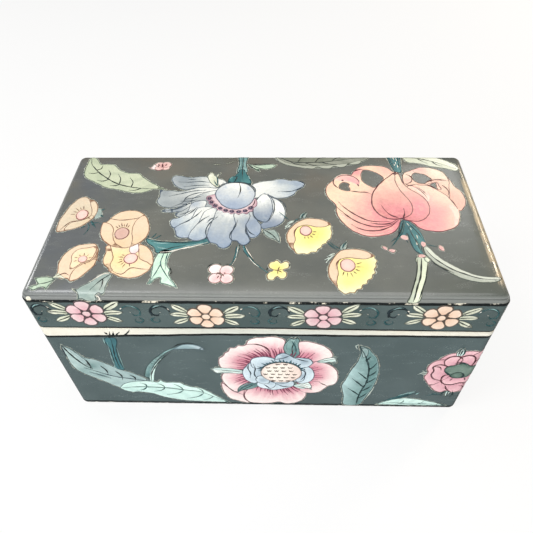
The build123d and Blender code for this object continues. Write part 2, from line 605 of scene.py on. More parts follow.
class Motif:
    """One painted flower, leaf or spray. At, turn, size and flip say where and how its drawing is placed."""

    def __init__(self, name, sheet, at=(0, 0), turn=0, size=1.0, flip=False):
        self.name, self.sheet, self.at, self.size = name, sheet, at, size
        self.flip, self.turn = (-1 if flip else 1), math.radians(turn)
        self.corners, self.faces, self.inks, self.brush, self.petal, self.wash = [], [], [], [], [], []
        self.finishes, self.count, self.layers = [], 0, 0

    def spot(self, points):
        """Drawn points, as numbers or as text, moved to where this motif sits."""
        c, s = math.cos(self.turn), math.sin(self.turn)
        placed = []
        for p in picked(points) if isinstance(points, str) else points:
            x, y = p[0] * self.size * self.flip, p[1] * self.size
            placed.append((self.at[0] + c * x - s * y, self.at[1] + s * x + c * y, *p[2:]))
        return placed

    def add(self, xy, lift, faces, finish, brush, petal, wash=None):
        self.corners.append(self.sheet(xy, lift) / 1000)
        self.faces += [[int(i) + self.count for i in f] for f in faces]
        if finish not in self.finishes:
            self.finishes.append(finish)
        self.inks += [self.finishes.index(finish)] * len(faces)
        self.brush.append(brush)
        self.petal.append(petal)
        self.wash.append(np.zeros((len(xy), 3)) if wash is None else np.outer(wash, (1, 0, 0)))
        self.count += len(xy)

    def patch(self, outline, finish, spine, level=0, holes=(), halo=True, washes=()):
        """A filled patch. Its spine goes from the root of a petal or leaf towards its tip. Each wash is a
        soft spot of the finish's second colour: where it lies, how far it reaches and how strong it is."""
        loops = [tremble(flowing(self.spot(loop))) for loop in (outline, *holes)]
        for loop in loops if halo else []:
            self.halo(loop)
        low, high = loops[0].min(0) - 1, loops[0].max(0) + 1
        across, upward = high - low
        plain = spread(low, across, upward, 2.1, 2.1)
        plain[::2] += 0.6
        if self.sheet is on_lid:
            bend_v, bend_u = spread(low, across, upward, 1.6, 0.7), spread(low, across, upward, 0.7, 1.6)
            bends = [bend_v[np.abs(bend_v[:, 1]) > STRAIGHT_Y - 0.5],
                bend_u[np.abs(bend_u[:, 0]) > STRAIGHT_X - 0.5]]
        else:
            bend_s = spread(low, across, upward, 0.7, 1.8)
            bends = [bend_s[np.interp(np.mod(bend_s[:, 0], ROUND_TRIP), STATIONS[:, 0], CORNER_SHARE) > 1e-3]]
        inner = np.concatenate([plain, *bends])
        inner = inner[inside(inner, loops)]
        if len(inner):
            inner = inner[np.min([from_line(inner, loop)[0] for loop in loops], 0) > 0.95]
        for depth in (0.22, 0.6):
            ways = [depth] + [-depth] * len(holes)
            ring = np.concatenate([loop + inward(loop) * way for loop, way in zip(loops, ways)])
            ring = ring[inside(ring, loops)]
            if len(ring):
                gap = np.min([from_line(ring, loop)[0] for loop in loops], 0)
                inner = np.concatenate((inner, ring[gap > depth * 0.8]))
        xy, faces = filled(loops, inner)
        rim = np.min([from_line(xy, loop)[0] for loop in loops], 0)
        self.layers += 1
        height = 0.07 + 0.05 * level + 0.003 * (self.layers % 8)
        lift = -0.03 + (height + 0.03) * np.clip(rim / 0.2, 0, 1) ** 0.7
        spine = self.spot(spine)
        root = np.array(spine[0][:2])
        off = xy - root
        away = np.hypot(*off.T)
        if len(spine) == 1:
            spine.append(tuple(xy[away.argmax()]))
        bone = flowing(spine, False, 1.5)
        gap, run, side = from_line(xy, bone, False)
        axis = np.array(spine[-1][:2]) - root
        fan = np.arctan2(axis[0] * off[:, 1] - axis[1] * off[:, 0], (off * axis).sum(1))
        tone = hand.random()
        rim *= max(1, 1.8 / rim.max())
        brush = np.column_stack((rim, away / away.max(), np.full(len(xy), tone)))
        petal = np.column_stack((run, gap * side * self.flip, fan))
        wash = np.zeros(len(xy))
        for x, y, radius, strength in washes:
            middle = np.array(self.spot([(x, y)])[0])
            wash += strength * np.exp(-(((xy - middle) / (radius * self.size)) ** 2).sum(1))
        self.add(xy, lift, faces, finish, brush, petal, wash)
        # the underside, hidden in the glaze, closes the patch
        first = self.count - len(xy)
        under, under_faces = filled(loops, [])
        known = {tuple(np.round(p, 3)): i for i, p in enumerate(xy)}
        if all(tuple(np.round(p, 3)) in known for p in under):
            same = [known[tuple(np.round(p, 3))] + first for p in under]
            self.faces += [[same[i] for i in f[::-1]] for f in under_faces]
            self.inks += [self.finishes.index(finish)] * len(under_faces)
        else:
            print("  open underside in", self.name)

    def halo(self, loop):
        """The thin pale line left free round a motif. It comes and goes along the edge."""
        out = -inward(loop)
        gap = 0.3 + 0.62 * waver(len(loop))[:, None]
        edge = loop + out * np.clip(gap, 0.02, 0.85)
        xy = np.stack((loop - out * 0.15, edge, loop), 1).reshape(-1, 2)
        count = len(loop)
        sides = [(i, (i + 1) % count, k, (k + 1) % 3) for i in range(count) for k in range(3)]
        faces = [(3 * i + k, 3 * i + m, 3 * j + m, 3 * j + k) for i, j, k, m in sides]
        record = np.zeros((len(xy), 3))
        self.add(xy, np.tile((0.05, 0.035, -0.03), count), faces, HALO, record, record)

    def stroke(self, points, finish, width=0.45, level=1, taper=(0.25, 0.35)):
        """A brush stroke: a thin ridge along the points, drawn out to a hair at its ends."""
        line = flowing(self.spot(points), False, 0.8)
        left = leftward(line, False)
        run = np.linspace(0, 1, len(line))
        wide = width * 1.4 * self.size * np.clip(run / taper[0], 0.4, 1)
        wide *= np.clip((1 - run) / taper[1], 0.3, 1)
        wide = wide[:, None] * (0.9 + 0.2 * np.sin(np.arange(len(line)) * 0.7 + hand.random() * 6))[:, None]
        base_lift = 0.07 + 0.05 * level
        xy = np.stack((line + left * wide / 2, line, line - left * wide / 2, line), 1).reshape(-1, 2)
        lift = np.tile((base_lift + 0.024, base_lift + 0.044, base_lift + 0.024, base_lift - 0.03), len(line))
        last = 4 * (len(line) - 1)
        sides = [(i, k, (k + 1) % 4) for i in range(0, last, 4) for k in range(4)]
        faces = [(i + k, i + m, i + 4 + m, i + 4 + k) for i, k, m in sides]
        faces += [(0, 3, 2, 1), (last, last + 1, last + 2, last + 3)]
        tone = np.full(len(xy), hand.random())
        flat = np.zeros(len(xy))
        edge = np.tile((0.2, 1.6, 0.2, 0), len(line))
        along = np.repeat(run, 4)
        petal = np.column_stack((along, flat, flat))
        self.add(xy, lift, faces, finish, np.column_stack((edge, along, tone)), petal)

    def strokes(self, lines, finish, width=0.45, level=1, **more):
        """Several strokes of one pigment. In their text a ; stands between two strokes."""
        for points in lines.split(";"):
            self.stroke(points, finish, width, level, **more)

    def make(self, body):
        """The finished piece, riding on one of the box's bodies."""
        mesh = bpy.data.meshes.new(self.name)
        mesh.from_pydata(np.concatenate(self.corners).tolist(), [], self.faces)
        for name, rows in (("brush", self.brush), ("petal", self.petal), ("wash", self.wash)):
            record = mesh.attributes.new(name, "FLOAT_VECTOR", "POINT")
            record.data.foreach_set("vector", np.concatenate(rows).astype(np.float32).ravel())
        for finish in self.finishes:
            mesh.materials.append(finish)
        mesh.polygons.foreach_set("material_index", self.inks)
        mesh.polygons.foreach_set("use_smooth", [True] * len(self.faces))
        mesh.update()
        piece = bpy.data.objects.new(self.name, mesh)
        scene.collection.objects.link(piece)
        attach(piece, body)
        print(f"{self.name}: {len(self.faces)} faces in {len(self.finishes)} enamels, on the {body}")


print("motif tools ready")

# %% [markdown]
# ## Coloured enamels
# Each enamel is a wash: a little colour floated out from the root of a petal until it fades near the edge,
# in streaks that follow the brush. So every finish is a ramp of colours read along the petal, disturbed by
# streaks and clouds, with a paler or darker rim and a thin drawn outline. The same recipe with other colours
# gives petals, leaves and stems, and the outline wavers in width like a line drawn by hand.

# %% The recipe for an enamel
def recorded(board, name):
    """The three numbers that each point of a motif remembers under this name."""
    return board.node("ShaderNodeAttribute", {"attribute_name": name}, {}, "Vector").parts()


def enamel(name, colours, line, by="reach", streak=0.06, cloud=0.16, rim=None, rim_mm=1.4, rim_share=0.5,
        line_mm=0.55, far_side=None, far_share=0.7, veins=None, stain=None, mottle=0.13, second=None,
        midrib=None):
    """Colours lie evenly from root to tip, or as `by` says: "run" along a leaf, "rim" from its edge."""
    material, board, shader = finish_board(name)
    spot = board.node("ShaderNodeTexCoord", {}, {}, "Object")
    edge, reach, tone = recorded(board, "brush")
    run, side, fan = recorded(board, "petal")
    wash, blotch, fine = spot.noise(8, 4, 0.6), spot.noise(3, 4, 0.6), spot.noise(1.1, 3, 0.6)
    if by == "reach":
        way = board.node("ShaderNodeCombineXYZ", {}, {0: fan * 7, 1: reach * 1.1, 2: tone * 40})
        at = reach
    else:
        way = board.node("ShaderNodeCombineXYZ", {}, {0: side * 0.55, 1: run * 2.2, 2: tone * 40})
        at = run if by == "run" else edge * 0.25
    grain = {"Vector": way, "Scale": 1.6, "Detail": 3, "Roughness": 0.6}
    streaks = board.node("ShaderNodeTexNoise", {}, grain, "Fac")
    at = at + (streaks - 0.5) * (streak * 2) + (wash - 0.5) * (cloud * 2)
    codes = colours.split()
    colour = at.ramp([(k / (len(codes) - 1), tint(code)) for k, code in enumerate(codes)])
    if far_side:
        colour = colour.blend(tint(far_side), side.step(0.5, -0.5) * far_share)
    if midrib:
        beside = (side + (wash - 0.5) * 3).step(midrib[1], 0) * 0.8 * side.step(-1, 0)
        colour = colour.blend(tint(midrib[0]), beside)
    if second:
        wet = recorded(board, "wash")[0]
        colour = colour.blend(tint(second), (wet * (0.55 + blotch * 0.9)).smaller(1))
    if veins:
        ripple = run * veins[1] - abs(side) * 0.5 + (wash - 0.5) * 1.4
        colour = colour.blend(tint(veins[0]), ripple.sine().step(0.1, 0.9) * 0.25)
    if stain:
        colour = colour.blend(tint(stain), blotch.step(0.5, 0.72) * 0.55)
    if rim:
        colour = colour.blend(tint(rim), (edge + (wash - 0.5) * rim_mm).step(rim_mm, 0.1) * rim_share)
    shade = 1 + (fine - 0.5) * (mottle * 2) + (blotch - 0.5) * (mottle * 1.8) + (tone - 0.5) * 0.05
    colour = colour.node("ShaderNodeVectorMath", {"operation": "SCALE"}, {0: colour, "Scale": shade})
    pen = line_mm * (1.1 + (spot.noise(3.5, 2) - 0.5) * 0.9)
    colour = colour.blend(tint(line), (edge - pen).step(0.14, -0.1) * 0.92)
    height = blotch * 0.8 + streaks * 0.3
    relief = board.node("ShaderNodeBump", {}, {"Strength": 0.3, "Distance": 0.0002, "Height": height})
    plug(board, shader, Base_Color=colour, Roughness=0.3 + (fine - 0.5) * 0.12, Normal=relief)
    return material


def pigment(name, colour, pale, rough=0.34):
    """The thin paint of a drawn line, a little uneven along its length."""
    material, board, shader = finish_board(name)
    thin = board.node("ShaderNodeTexCoord", {}, {}, "Object").noise(2.4, 3, 0.6)
    uneven = (thin.step(0.42, 0.72) * 0.6).between(tint(colour), tint(pale))
    plug(board, shader, Base_Color=uneven, Roughness=rough + thin * 0.1)
    return material


# %% The drawn lines
HALO = pigment("pale_halo", "#b8beb2", "#6a7672", 0.4)
INK = pigment("ink_line", "#202626", "#404c4a")
PLUM = pigment("plum_line", "#4e242c", "#844a4e")
BROWN = pigment("brown_line", "#684032", "#966c54")
STEEL = pigment("steel_line", "#384650", "#627280")
PALE = pigment("pale_line", "#cedad0", "#a8bcb4")
CHALK = pigment("chalk_dot", "#f0ece0", "#d6cebe")
TEAL_LINE = pigment("teal_line", "#2c565a", "#547c7c")
BLOOM_LINE = pigment("bloom_pale_line", "#fccec4", "#f4b2ae")
LEAF_LINE = pigment("leaf_line", "#4a6a68", "#6e8e8a")
SCROLL = pigment("scroll_line", "#1e2c32", "#34444a")
LEAF_INK = pigment("leaf_ink", "#243c3e", "#486868")
DASH = pigment("pod_dash", "#604e42", "#8a7666")
GLINT = pigment("teal_light", "#96bab8", "#6e9696")
CREST = pigment("crest_line", "#345c68", "#5a808a")
PEONY_LINE = pigment("peony_line", "#8a3e58", "#b0687c")
BEAD = pigment("bead_paint", "#4c4052", "#6c5e76")
print(len(bpy.data.materials), "materials so far")

# %% The petals' enamels
SEPIA, DARK_RED = "#7c5640", "#54262e"
PEACH = enamel("peach_petal", "#e1c7a2 #e8d1b1 #e9d3b6 #ead5ba", SEPIA, rim="#e5c09f", stain="#e1c2a1",
    cloud=0.3, second="#f0cba8")
CREAM_PEACH = enamel("cream_peach_petal", "#e1c5a1 #e6ceb1 #e8d0b5 #e6c8ac", SEPIA, rim="#e7cfb2",
    stain="#e7c6a6", cloud=0.3, second="#ecccaa")
PALE_EAR = enamel("pale_ear_petal", "#d4c1a0 #d9cab0 #dccdb5 #d9c5ac", SEPIA, rim="#e2d4bc", stain="#d9c2a6",
    cloud=0.3, second="#dec8aa")
LEMON = enamel("lemon_petal", "#f1d5b1 #f1d9b1 #f2dbbb #eed1b3", SEPIA, rim="#e9cbab", stain="#efd1a2",
    cloud=0.3, second="#f4dda2")
GOLD = enamel("yellow_petal", "#f2e692 #f7f0a0 #faf7b2 #fcfbca", SEPIA, rim="#fdfddc", stain="#f4e696",
    cloud=0.22, second="#ecde82")
BLUSH = enamel("blush_heart", "#d8b6a8 #d6b2a4 #d0aa9c", "#6d3e3a", by="rim", line_mm=0.6)
PALE_HEART = enamel("pale_heart", "#edc4b9 #efcdc2 #f0d3c8", "#814944", by="rim", line_mm=0.6)
BUD = enamel("bud_petal", "#ce9694 #dcb2ac #eccec6", "#784242", rim="#f4dcd4", line_mm=0.45)
BLOOM = "#ea969c"
BLOOM_LEFT = enamel("bloom_left_petal", "#d48289 #de9394 #e6a49f #f0bcac #f7d4b9 #f8dabb #f4cab1", DARK_RED,
    stain="#eeb9a3", mottle=0.2, second=BLOOM)
BLOOM_HEART = enamel("bloom_heart_petal", "#cd797f #d88c8a #e3a69c #eec0ae #f5d6bc #f3d2b8", DARK_RED,
    line_mm=0.65, stain="#eaac9c", mottle=0.2, second=BLOOM)
BLOOM_RIGHT = enamel("bloom_right_petal", "#e2858b #ea9697 #f0a8a6 #f8cbb6 #f9dac1", DARK_RED,
    stain="#eeaa9e", mottle=0.2, second="#ec9a9a")
BLOOM_RING = enamel("bloom_ring_petal", "#e5ab98 #eabea7 #eecdb5 #f6e8d0", DARK_RED, cloud=0.3,
    stain="#e6baa8", mottle=0.2, second="#e1a39e")
BLOOM_PALE = enamel("bloom_pale_petal", "#fad6c4 #fbdcca", "#faccc0", stain="#facebe", second="#f4a8ac")
SLATE_BLUE = "#3e4c5c"
BLUE = enamel("blue_petal", "#f6f6ee #eaebe5 #bec4c4 #a6b1bc #90a0b3", SLATE_BLUE, streak=0.12, cloud=0.24,
    stain="#a1aab1", mottle=0.16, second="#8796aa")
BLUE_DEEP = enamel("blue_side_petal", "#fbfbf3 #f0f2ed #bac0c3 #929ead #8290a1", SLATE_BLUE, streak=0.12,
    cloud=0.2, stain="#aab3b8", mottle=0.14, second="#7d8b9f")
SKIRT_WHITE = enamel("white_skirt_petal", "#ecede6 #eaece5 #e0e3df #cad1d1 #b2bec7 #9eacbc", SLATE_BLUE,
    streak=0.16, cloud=0.24, rim="#e8eae6", rim_share=0.3, stain="#bac4c8", mottle=0.18, second="#8c9caf")
BLUE_WING = enamel("blue_wing", "#f0efe6 #d4d8d3 #b2b9b9 #a0a8aa #b0b6b8", SLATE_BLUE, streak=0.14,
    cloud=0.2, stain="#929ca2", mottle=0.16, second="#848e96")
BLUE_MIST = enamel("pale_blue_wing", "#f0f0e7 #dee1db #bcc1bf #b1b7b6 #abb3b3", SLATE_BLUE, streak=0.14,
    cloud=0.2, stain="#9ca4a5", mottle=0.15, second="#80898f")
BLUE_DOME = enamel("blue_dome", "#fdfdf6 #dde0dd #c1c9cf #a4b0c1", SLATE_BLUE, cloud=0.26, line_mm=0.65,
    stain="#a7b3c3", mottle=0.16, second="#95a4ba")
LILAC = enamel("lilac_collar", "#c49ea8 #d4b8bc #dac4c6", "#684454", by="rim", line_mm=0.5)
WHITE = enamel("white_petal", "#e5ccca #f3e5e2 #f7f0eb", "#7c534f", line_mm=0.5, second="#f0b8b8")
BAND_PINK = enamel("band_pink_petal", "#d19ba3 #deadb5 #e5c3c6 #e9cfcf", "#382e30", cloud=0.3, line_mm=0.72)
BAND_PEACH = enamel("band_peach_petal", "#ddb8a0 #eac7ae #f1d5be #f5dcc9", "#3e342c", cloud=0.3,
    line_mm=0.72)
PEONY = enamel("peony_petal", "#b26278 #ba6c82 #c4788c #dea0ac #f8dedc #fdf6f0", "#7a4452", streak=0.16,
    cloud=0.14, second="#d48698")
PEONY_BLUE = enamel("peony_inner_petal", "#9db0bc #b5c8d4 #d1e2ea #e2f0f6", "#384c5c", line_mm=0.6,
    stain="#e4eff1", second="#8da2b0")
ROSE = enamel("rose_petal", "#b57785 #ca8d9b #daa3af #ebb9c1 #f4c9ce", "#79535a", line_mm=0.7,
    second="#ce8c9a")
POD = enamel("seed_pod", "#e1cfc4 #f3e7dd #fbf3e7", "#604a44", by="rim", line_mm=0.6, second="#eccabe")
MOSS = enamel("green_heart", "#3e5a50 #647c71 #748a7f", "#2a3c38", by="rim", line_mm=0.65, stain="#92a398")

# %% The leaves' enamels
SAGE = enamel("sage_leaf", "#bac3a6 #c5ccb1 #c9cfb4 #bec4aa", "#546250", by="run", rim="#d9e0c7",
    far_side="#b8c2a6", far_share=0.5, veins=("#9aa68f", 26), stain="#b0bb9c")
SAGE_GREEN = enamel("green_sage_leaf", "#aabea9 #b8cbb4 #bed2bc", "#465c50", by="run", rim="#d6e2ce",
    stain="#a4b8a4")
MINT = enamel("mint_leaf", "#cae4cb #d8f0d8 #e2f5e2", "#4a6c64", by="run", rim="#ecf8ec", far_side="#c4e2d2",
    far_share=0.5, veins=("#9ec6b6", 30), stain="#bedac8")
MINT_FRONT = enamel("front_mint_leaf", "#d1efe5 #e1fbf2 #d8f6ed", "#3c5c5c", by="run", rim="#f1fffa",
    far_side="#c5e5de", far_share=0.5, veins=("#a7cbc5", 30), stain="#c4e3dc")
GREY_LEAF = enamel("grey_leaf", "#a2afa8 #97a79f #9baaa2", "#3a4c4a", by="run", rim="#ccd4cc",
    far_side="#94a59f", far_share=0.6, veins=("#738682", 24), stain="#96a8a1", second="#c5ccc3")
SLATE_LEAF = enamel("slate_leaf", "#9fb8b7 #b4cbc9 #b9d0cc #a9bebb", "#2c4244", by="run", rim="#d0e4df",
    far_side="#97aeae", far_share=0.6, veins=("#7d9597", 22), stain="#95aeae", second="#6c8c8a")
TEAL_LEAF = enamel("teal_leaf", "#bddbda #d0eded #ceeded #accaca", "#223a3c", by="run", line_mm=0.6,
    rim="#e1f9f9", far_side="#628988", far_share=0.96, veins=("#789392", 26), stain="#9ebfbd",
    midrib=("#709492", 20), second="#6f8989")
OLIVE_LEAF = enamel("olive_leaf", "#787c70 #84887a #888a7e", "#343a32", by="run", rim="#b0b2a4",
    far_side="#989b8e", far_share=0.8, veins=("#5c6256", 30), stain="#6c7266")
TEAL = enamel("teal_stem", "#3a686c #487a7c #5a8a8a", "#1a3036", by="run", streak=0.3, rim="#689294",
    rim_mm=0.9, far_side="#30585e", far_share=0.5, stain="#608a8a")
TEAL_DEEP = enamel("deep_teal_stem", "#416f76 #4a7c83 #43737a", "#223d43", by="run", streak=0.3,
    far_side="#366269", far_share=0.5, stain="#59898e")
BLADE_TIP = enamel("blade_tip", "#92acb0 #a4bcc0 #c2ced4", "#465c64", by="run", far_side="#829ca2",
    far_share=0.5)
SPROUT = enamel("pale_sprout", "#cce4de #e8f6ee #f4faf4", "#3c5654", by="run", rim="#f6faf6",
    far_side="#bedcd8", far_share=0.7, stain="#cce6e0")
TEAL_PALE = enamel("pale_teal_leaf", "#668989 #7ea2a0 #9bb9b6", "#223a3c", by="run", rim="#b8d2cd",
    far_side="#5e8182", far_share=0.6, stain="#6d9291", veins=("#466464", 20))
IVORY = enamel("ivory_leaf", "#bbc2aa #dde0ca #ecedd9", "#2e3a34", by="run", rim="#f7f8e6",
    far_side="#c8ccb5", far_share=0.5, stain="#c4ccb3", line_mm=0.5)
REED = enamel("reed_leaf", "#d4dcc4 #e1e8cd #e6ecd2", "#2c3630", by="run", line_mm=0.5, far_side="#bac2ae",
    far_share=0.9, stain="#c8d1b8")
REED_FAR = enamel("far_reed_leaf", "#d6daca #d0d4c6 #ced2c5", "#2c3630", by="run", line_mm=0.5,
    far_side="#aeb3a6", far_share=0.9, stain="#bec3b6")
IVORY_FAR = enamel("far_ivory_edge", "#a4a89a #b2b6a7 #babeaf", "#3c443c", by="run", line_mm=0.5,
    far_side="#b0b4a6", far_share=0.5, stain="#9ca294")
print(len(bpy.data.materials), "materials so far")

# %% [markdown]
# ## The top of the lid, left side
# A sage leaf, a pink bud, and four open blossoms in peach, each with a blushed heart and a few lashes round
# it. The outlines were picked off the real top. Where two flowers overlap, the one in front is laid a level
# higher.

# %% Sage leaf and pink bud
leaf = Motif("sage_leaf", on_lid)
leaf.patch("-118 60.6!, -119.1 55.3, -119.4 49.8, -119.3 43.7, -118 38.1, -115.2 35, -111.3 32.6, "
    "-106.9 29.8, -102.4 26.7, -98 25.1, -92.4 24, -87.4 22.2, -82.4 21.1, -78 21.1, -74.1 22.6, "
    "-71.3 24.4, -67.4 24.6, -61.5 24.6!, -67.4 27.6, -70.2 29.8, -73.6 32, -76.3 34.4, -79.1 37, "
    "-81.3 39.8, -84.1 40.9, -89.1 41.1, -93.6 42.9, -96.3 44.8, -98.6 47.8, -100.8 49.8, -105.8 50.7, "
    "-110.2 50.6, -111.9 53.7, -114.1 56.4, -116.3 58.7", SAGE, "-118 60, -115.8 49.8, -109.1 41.4, "
    "-98 32.2, -84.7 26.7, -62 24.8")
leaf.stroke("-117.9 57, -115.8 49.8, -112.4 45.3, -109.1 41.4, -104.1 37, -98 32.2, -91.3 28.7, "
    "-84.7 26.7, -78 25.6, -66 25", INK, 0.6)
leaf.strokes("-111.4 44, -108.8 45.4, -108.4 49; -101.6 35.6, -101.3 39.8, -103.6 44.4; -93.3 29.8, "
    "-93.6 34.8, -96.3 40.3; -85.2 26.7, -84.9 31.4, -87.8 36.2; -109.7 41.5, -112 40.6, -115.8 40.8; "
    "-101.3 34.4, -104 32.8, -108.6 33.4; -93 29.4, -95.4 28.2, -99.1 28.4; -78.6 25.6, -82.4 23.6, "
    "-86 23.8", INK, 0.55, taper=(0.1, 0.6))
leaf.make("lid")
bud = Motif("pink_bud", on_lid)
bud.patch("-78 46.6!, -75.6 47.6, -74.8 50, -72.2 51, -71 47.6, -73 44.2, -75.6 45.2", WHITE, "-78 46.4", 1)
for x, y, wide, high, turn, level in ((-70.9, 50.2, 3.1, 2.3, 10, 2), (-66.2, 49.8, 3.4, 3.1, -30, 3),
        (-66.4, 46.2, 2.8, 2.0, 10, 2), (-70.6, 46.2, 3.2, 2.5, 0, 4)):
    bud.patch(oval(x, y, wide, high, turn, 10), BUD, "-69 48.4", level, halo=level < 4)
bud.strokes("-71.6 50.4, -71.2 48.8, -71.4 47; -69.2 50.8, -68.6 48.6, -68.8 46.2; -66.2 50.4, -66.8 48.4",
    PLUM, 0.65, 5)
bud.make("lid")

# %% A blossom's heart, and the peach blossoms
def heart(flower, x, y, wide, high, lashes, level=3, finish=BLUSH):
    """The round heart of a blossom with short lashes round part of it: from, to, and how many."""
    flower.patch(oval(x, y, wide, high), finish, [(x, y)], level)
    first, last, count = lashes
    for k in range(count):
        a = math.radians(first + (last - first) * k / max(1, count - 1))
        inner, outer = 1.1, 1.5 + 0.35 * hand.random()
        start = (x + wide * inner * math.cos(a), y + high * inner * math.sin(a))
        end = (x + wide * outer * math.cos(a + 0.06), y + high * outer * math.sin(a + 0.06))
        flower.stroke([start, end], BROWN, 0.4, level - 1, taper=(0.1, 0.5))


ear = Motif("peach_ear_blossom", on_lid)
ear.patch("-111.3 17.6, -113.6 17, -115.8 15.3, -117.4 12.6, -119.1 8.7, -120 4.8, -120.8 1.4, -121.6 -2.4, "
    "-121.7 -6.9, -121.3 -11.3, -120.2 -13.9, -117.4 -13.6, -113.6 -12.4, -109.7 -10.8, -106.3 -8.6, "
    "-104.1 -5.8, -101.9 -2.4, -100.8 0.9, -100.6 4.2, -101.3 8.7, -103 12, -105.2 14.2, -108 15.3, "
    "-109.7 16.7", PALE_EAR, "-108 0, -120 -12")
ear.patch("-110.2 17.1, -108 13.1, -106.4 8.7, -104.8 4.8, -104.1 1.4, -105.6 -1.6, -109 -3.8, -114.1 -5.6, "
    "-116 -8.4, -116.4 -12.8, -113.6 -12.3, -109.7 -10.7, -106.3 -8.5, -104.2 -5.7, -102 -2.4, -100.9 0.9, "
    "-100.7 4.2, -101.4 8.7, -103.1 12, -105.3 14.1, -108 15.2", PALE_EAR, "-104 -6, -109 16", 1, halo=False,
    washes=[(-103, 9, 5, 0.8), (-104, -3, 4, 0.5)])
ear.strokes("-105.2 -1.6, -109 -4.2, -114.1 -5.2, -117.4 -9.7, -119.1 -13.4", BROWN, 0.4, 2)
heart(ear, -109.3, 0.9, 3.8, 4.6, (95, 175, 5), 4, PALE_HEART)
ear.make("lid")

ball = Motif("peach_round_blossom", on_lid)
ball.patch("-80.2 5.1, -76.3 4.4, -72.4 2, -69.7 -1.3, -68 -5.2, -66.9 -9.1, -66.3 -13.6, -67.1 -17.4, "
    "-69.1 -21.3, -71.9 -24.1, -74.7 -25.8, -78 -26.7, -81.9 -26.3, -85.8 -25.2, -89.1 -23, -91.9 -20.2, "
    "-94.1 -16.3, -95.2 -11.9, -94.7 -8, -92.7 -4.4, -90.8 -0.8, -88.6 2, -85.2 4.2", PEACH,
    "-81 -24, -80 4", 3, washes=[(-80, 1.5, 7, 0.5), (-84, -22, 4, 0.3)])
ball.patch("-94.6 -5.4, -89.7 -7.4, -87.2 -11.3, -86.4 -16.9, -83.6 -22.4, -79.2 -26.3, -81.9 -26.2, "
    "-85.8 -25.1, -89.1 -22.9, -91.9 -20.1, -94.1 -16.3, -95.2 -11.9", CREAM_PEACH, "-84 -24, -94 -8", 4,
    halo=False, washes=[(-92, -16, 4, 0.5)])
ball.patch("-74.6 -1.4, -76.9 -6.9, -76.7 -13.6, -75.2 -19.7, -74.4 -25.6, -71.9 -24.1, -69.1 -21.3, "
    "-67.1 -17.4, -66.3 -13.6, -66.9 -9.1, -68 -5.2, -69.7 -1.3, -71.6 0.9", CREAM_PEACH, "-72 -22, -71 0",
    4, halo=False, washes=[(-70, -18, 4, 0.4)])
ball.strokes("-92.6 -2.2, -85.8 -3.8, -79.1 -3, -74.1 -1.3, -72 1.6", BROWN, 0.42, 4)
heart(ball, -81.9, -14.9, 4.4, 5.1, (60, 130, 6), 6)
ball.make("lid")

low = Motif("peach_low_blossom", on_lid)
low.patch("-88.6 -24.7, -88 -30.2, -88.2 -34.7, -87.1 -38.6, -84.1 -41.3, -82.4 -44.1, -79.1 -46.3, "
    "-75.2 -48, -71.3 -48.7, -67.4 -48, -63.6 -45.8, -60.8 -42.4, -60 -38, -60.4 -33.6, -62.4 -28.6, "
    "-65.2 -25.2, -68.6 -23.3, -72 -20, -80 -20, -86 -21", LEMON, "-73 -32, -66 -47", 1,
    washes=[(-81, -33, 6, 0.9), (-78, -41, 5, 0.5)])
low.patch("-88.6 -24.7, -88 -30.2, -88.2 -34.7, -87.1 -38.6, -84.1 -41.3, -82.4 -44.1, -80.8 -43.6, "
    "-82.7 -39.1, -82.2 -34.7, -83.6 -30.2, -85.2 -26.6, -86.6 -23.8", LEMON, "-83 -34, -88 -30", 2,
    halo=False)
low.patch("-70.2 -23.2, -69.7 -29.1, -68 -34.7, -63.6 -37.4, -60.2 -39.7, -60.2 -34, -62.4 -28.6, "
    "-65.2 -25.2, -68.6 -23.4", CREAM_PEACH, "-68 -35, -63 -28", 2, halo=False,
    washes=[(-66, -26.5, 4, 0.8)])
low.patch("-75.4 -27, -74.4 -23.6, -71 -22.2, -69.9 -25.4, -69.6 -29.2, -71.4 -31, -74 -30.4", WHITE,
    "-72 -30, -72 -23", 2, halo=False)
low.strokes("-80.8 -43.6, -78.4 -45, -75.8 -45.8, -71.3 -41.3, -65.8 -41.9, -60.4 -42.4; -72.6 -38.4, "
    "-72.4 -40.4", BROWN, 0.42, 2)
heart(low, -72.8, -34.4, 4.1, 4.1, (150, 240, 6), 4, PALE_HEART)
low.make("lid")

cup = Motif("peach_cup_blossom", on_lid)
cup.patch("-99.7 -23, -94.7 -23.3, -92.7 -26.3, -91.6 -31.3, -91.1 -35.8, -91.9 -40.2, -94.1 -44.1, "
    "-96.3 -47.4, -98.9 -50.2, -101.9 -51, -104.1 -49.1, -107.4 -49.4, -110.2 -48, -110.8 -43.6, "
    "-111.9 -39.1, -111.6 -34.7, -110.2 -30.2, -108 -26.9, -104.7 -24.1", CREAM_PEACH, "-99 -35, -110 -47")
cup.patch("-104.2 -27.6, -99 -26, -94.2 -25, -93.2 -30.2, -94.7 -35.8, -98.9 -38.4, -101.9 -41.7, "
    "-103.8 -42.6, -105.6 -36, -106.2 -31", LEMON, "-99 -35", 1, halo=False)
cup.patch("-94.1 -24.7, -93 -30.2, -94.7 -35.8, -98.9 -38.6, -101.9 -41.9, -103 -47.4, -102.4 -50.8, "
    "-98.9 -50.2, -96.3 -47.4, -94.1 -44.1, -91.9 -40.2, -91.1 -35.8, -91.6 -31.3, -92.7 -26.3", PEACH,
    "-96 -37, -97 -49", 2, halo=False)
cup.strokes("-110 -47.6, -106 -45.4, -103.2 -47; -92.2 -35.4, -90.4 -35.8, -89.4 -37; -92 -38.4, "
    "-90.6 -39.8", BROWN, 0.4, 3)
heart(cup, -99.3, -35, 2.8, 2.7, (-60, 200, 8), 4, PALE_HEART)
cup.make("lid")

